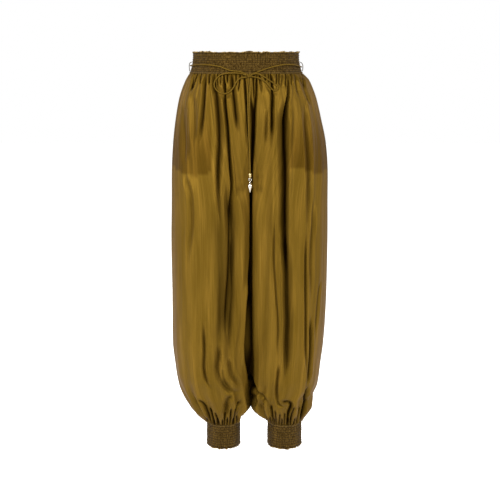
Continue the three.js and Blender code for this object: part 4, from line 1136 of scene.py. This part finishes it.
sewn_lines = shirred_tube("shirred_waistband", "waistband", waist_ring, count=128, top=27, bottom=-25.7,
                          frill_up=True, seed=11, wave=1.5, notch=0.795)
for side_name, side in SIDES.items():
    sewn_lines += shirred_tube(f"shirred_cuff_{side_name}", f"cuff_{side_name}", cuff_ring(side), count=54,
                               top=CUFF_SEAM - 0.3, bottom=-993, frill_up=False, seed=31 + len(sewn_lines),
                               wave=1.3)


# Stitches by Geometry Nodes: each sewn line is a ring of edges, and a row of stitches lies along it
STITCH_SPACING = 0.0034
STITCH_LENGTH = 0.0027
THREAD_WIDTH = 0.0005


def stitch_tree():
    """The node group that lays stitches, each a little uneven in length, along sewn lines."""
    tree = bpy.data.node_groups.new("sewn stitches", "GeometryNodeTree")
    face = tree.interface
    face.new_socket("Sewn lines", in_out="INPUT", socket_type="NodeSocketGeometry")
    for label in ("Stitch spacing", "Stitch length", "Thread width"):
        face.new_socket(label, in_out="INPUT", socket_type="NodeSocketFloat")
    face.new_socket("Seed", in_out="INPUT", socket_type="NodeSocketInt")
    face.new_socket("Thread", in_out="INPUT", socket_type="NodeSocketMaterial")
    face.new_socket("Stitches", in_out="OUTPUT", socket_type="NodeSocketGeometry")
    given = add(tree, "NodeGroupInput").outputs
    curve = add(tree, "GeometryNodeMeshToCurve", {"Mesh": given["Sewn lines"]})
    points = add(tree, "GeometryNodeCurveToPoints",
                 {"Curve": curve.outputs[0], "Length": given["Stitch spacing"]}, mode="LENGTH")
    turned = add(tree, "FunctionNodeAlignRotationToVector", {"Vector": points.outputs["Tangent"]}, axis="Z")
    half = add(tree, "ShaderNodeMath", {0: given["Stitch length"]}, operation="MULTIPLY", in_1=0.5)
    thin = add(tree, "ShaderNodeMath", {0: given["Thread width"]}, operation="MULTIPLY", in_1=0.5)
    uneven = add(tree, "FunctionNodeRandomValue", {"Seed": given["Seed"]}, data_type="FLOAT",
                 in_2=0.85, in_3=1.12)
    long_ = add(tree, "ShaderNodeMath", {0: half.outputs[0], 1: uneven.outputs[1]}, operation="MULTIPLY")
    size = add(tree, "ShaderNodeCombineXYZ",
               {"X": thin.outputs[0], "Y": thin.outputs[0], "Z": long_.outputs[0]})
    bead = add(tree, "GeometryNodeMeshUVSphere", in_Segments=6, in_Rings=3, in_Radius=1.0)
    placed = add(tree, "GeometryNodeInstanceOnPoints",
                 {"Points": points.outputs["Points"], "Instance": bead.outputs["Mesh"],
                  "Rotation": turned.outputs["Rotation"], "Scale": size.outputs[0]})
    real = add(tree, "GeometryNodeRealizeInstances", {"Geometry": placed.outputs[0]})
    soft = add(tree, "GeometryNodeSetShadeSmooth", {"Geometry": real.outputs[0]})
    dyed = add(tree, "GeometryNodeSetMaterial", {"Geometry": soft.outputs[0], "Material": given["Thread"]})
    add(tree, "NodeGroupOutput", {"Stitches": dyed.outputs[0]})
    return tree


def sew(name, lines, seed):
    """Sews elastic thread along closed lines of points, as a piece of its own."""
    edges, start = [], 0
    for line in lines:
        edges.extend((start + i, start + (i + 1) % len(line)) for i in range(len(line)))
        start += len(line)
    base = bpy.data.meshes.new(name)
    base.from_pydata(np.vstack(lines).tolist(), edges, [])
    made = linked(name, base)
    modifier = made.modifiers.new("stitches", "NODES")
    modifier.node_group = stitch_tree()
    given = {item.name: item.identifier for item in modifier.node_group.interface.items_tree}
    for label, value in (("Stitch spacing", STITCH_SPACING), ("Stitch length", STITCH_LENGTH),
                         ("Thread width", THREAD_WIDTH), ("Seed", seed), ("Thread", THREAD)):
        modifier[given[label]] = value
    evaluated = made.evaluated_get(bpy.context.evaluated_depsgraph_get())
    plain = bpy.data.meshes.new_from_object(evaluated)
    made.modifiers.remove(modifier)
    made.data = plain
    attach(made, "garment")


sew("elastic_thread_rows", sewn_lines, 3)

# Stage: a plain pale floor and soft studio light
FLOOR_REACH = 12.0
FLOOR = -1.075
floor_mesh = bpy.data.meshes.new("floor")
corners = [(-1, -1), (1, -1), (1, 1), (-1, 1)]
floor_mesh.from_pydata([(x * FLOOR_REACH, y * FLOOR_REACH, FLOOR) for x, y in corners], [], [(0, 1, 2, 3)])
floor = linked("floor", floor_mesh)
paper = new_material("matt paper backdrop")
seen_directly = add(paper.node_tree, "ShaderNodeLightPath").outputs["Is Camera Ray"]
glow = add(paper.node_tree, "ShaderNodeMapRange", {"Value": seen_directly}, in_3=0.1, in_4=0.93)
shader = add(paper.node_tree, "ShaderNodeBsdfPrincipled", {"Emission Strength": glow.outputs["Result"]},
             in_Roughness=0.9, in_Base_Color=tone("#F4F3F0"), in_Emission_Color=(1, 1, 1, 1))
add(paper.node_tree, "ShaderNodeOutputMaterial", {"Surface": shader.outputs["BSDF"]})
floor_mesh.materials.append(paper)

world = bpy.data.worlds.new("studio")
bpy.context.scene.world = world
world.use_nodes = True
world.node_tree.nodes.clear()
seen_directly = add(world.node_tree, "ShaderNodeLightPath").outputs["Is Camera Ray"]
# The room is dim, and the paper behind the object is seen as white
strength = add(world.node_tree, "ShaderNodeMapRange", {"Value": seen_directly}, in_3=0.26, in_4=1.0)
air = add(world.node_tree, "ShaderNodeBackground", {"Strength": strength.outputs["Result"]},
          in_Color=(1, 1, 1, 1))
add(world.node_tree, "ShaderNodeOutputWorld", {"Surface": air.outputs["Background"]})

# Each light: where it stands, the height it points at on the garment's axis, its size and its power in watts
LIGHTS = {
    "left_soft_box": ((-2.3, -1.9, 0.6), -0.5, (0.7, 1.6), 56),
    "right_soft_box": ((2.4, -1.8, 0.4), -0.5, (0.7, 1.6), 40),
    "front_soft_box": ((-0.15, -2.7, 1.6), -0.45, (0.6, 0.6), 58),
    "left_rim_box": ((-2.6, 1.3, 0.6), -0.5, (0.8, 1.6), 13),
    "right_rim_box": ((2.6, 1.3, 0.6), -0.5, (0.8, 1.6), 13),
    "back_soft_box": ((0.2, 2.2, 2.0), -0.5, (1.0, 0.8), 42),
}
for name, (place, aim, size, power) in LIGHTS.items():
    light = bpy.data.lights.new(name, "AREA")
    light.shape = "RECTANGLE"
    light.size, light.size_y = size
    light.energy = power
    made = linked(name, light)
    made.location = place
    made.rotation_euler = (Vector((0, 0, aim)) - Vector(place)).to_track_quat("-Z", "Y").to_euler()

bpy.context.scene.view_settings.view_transform = "Standard"
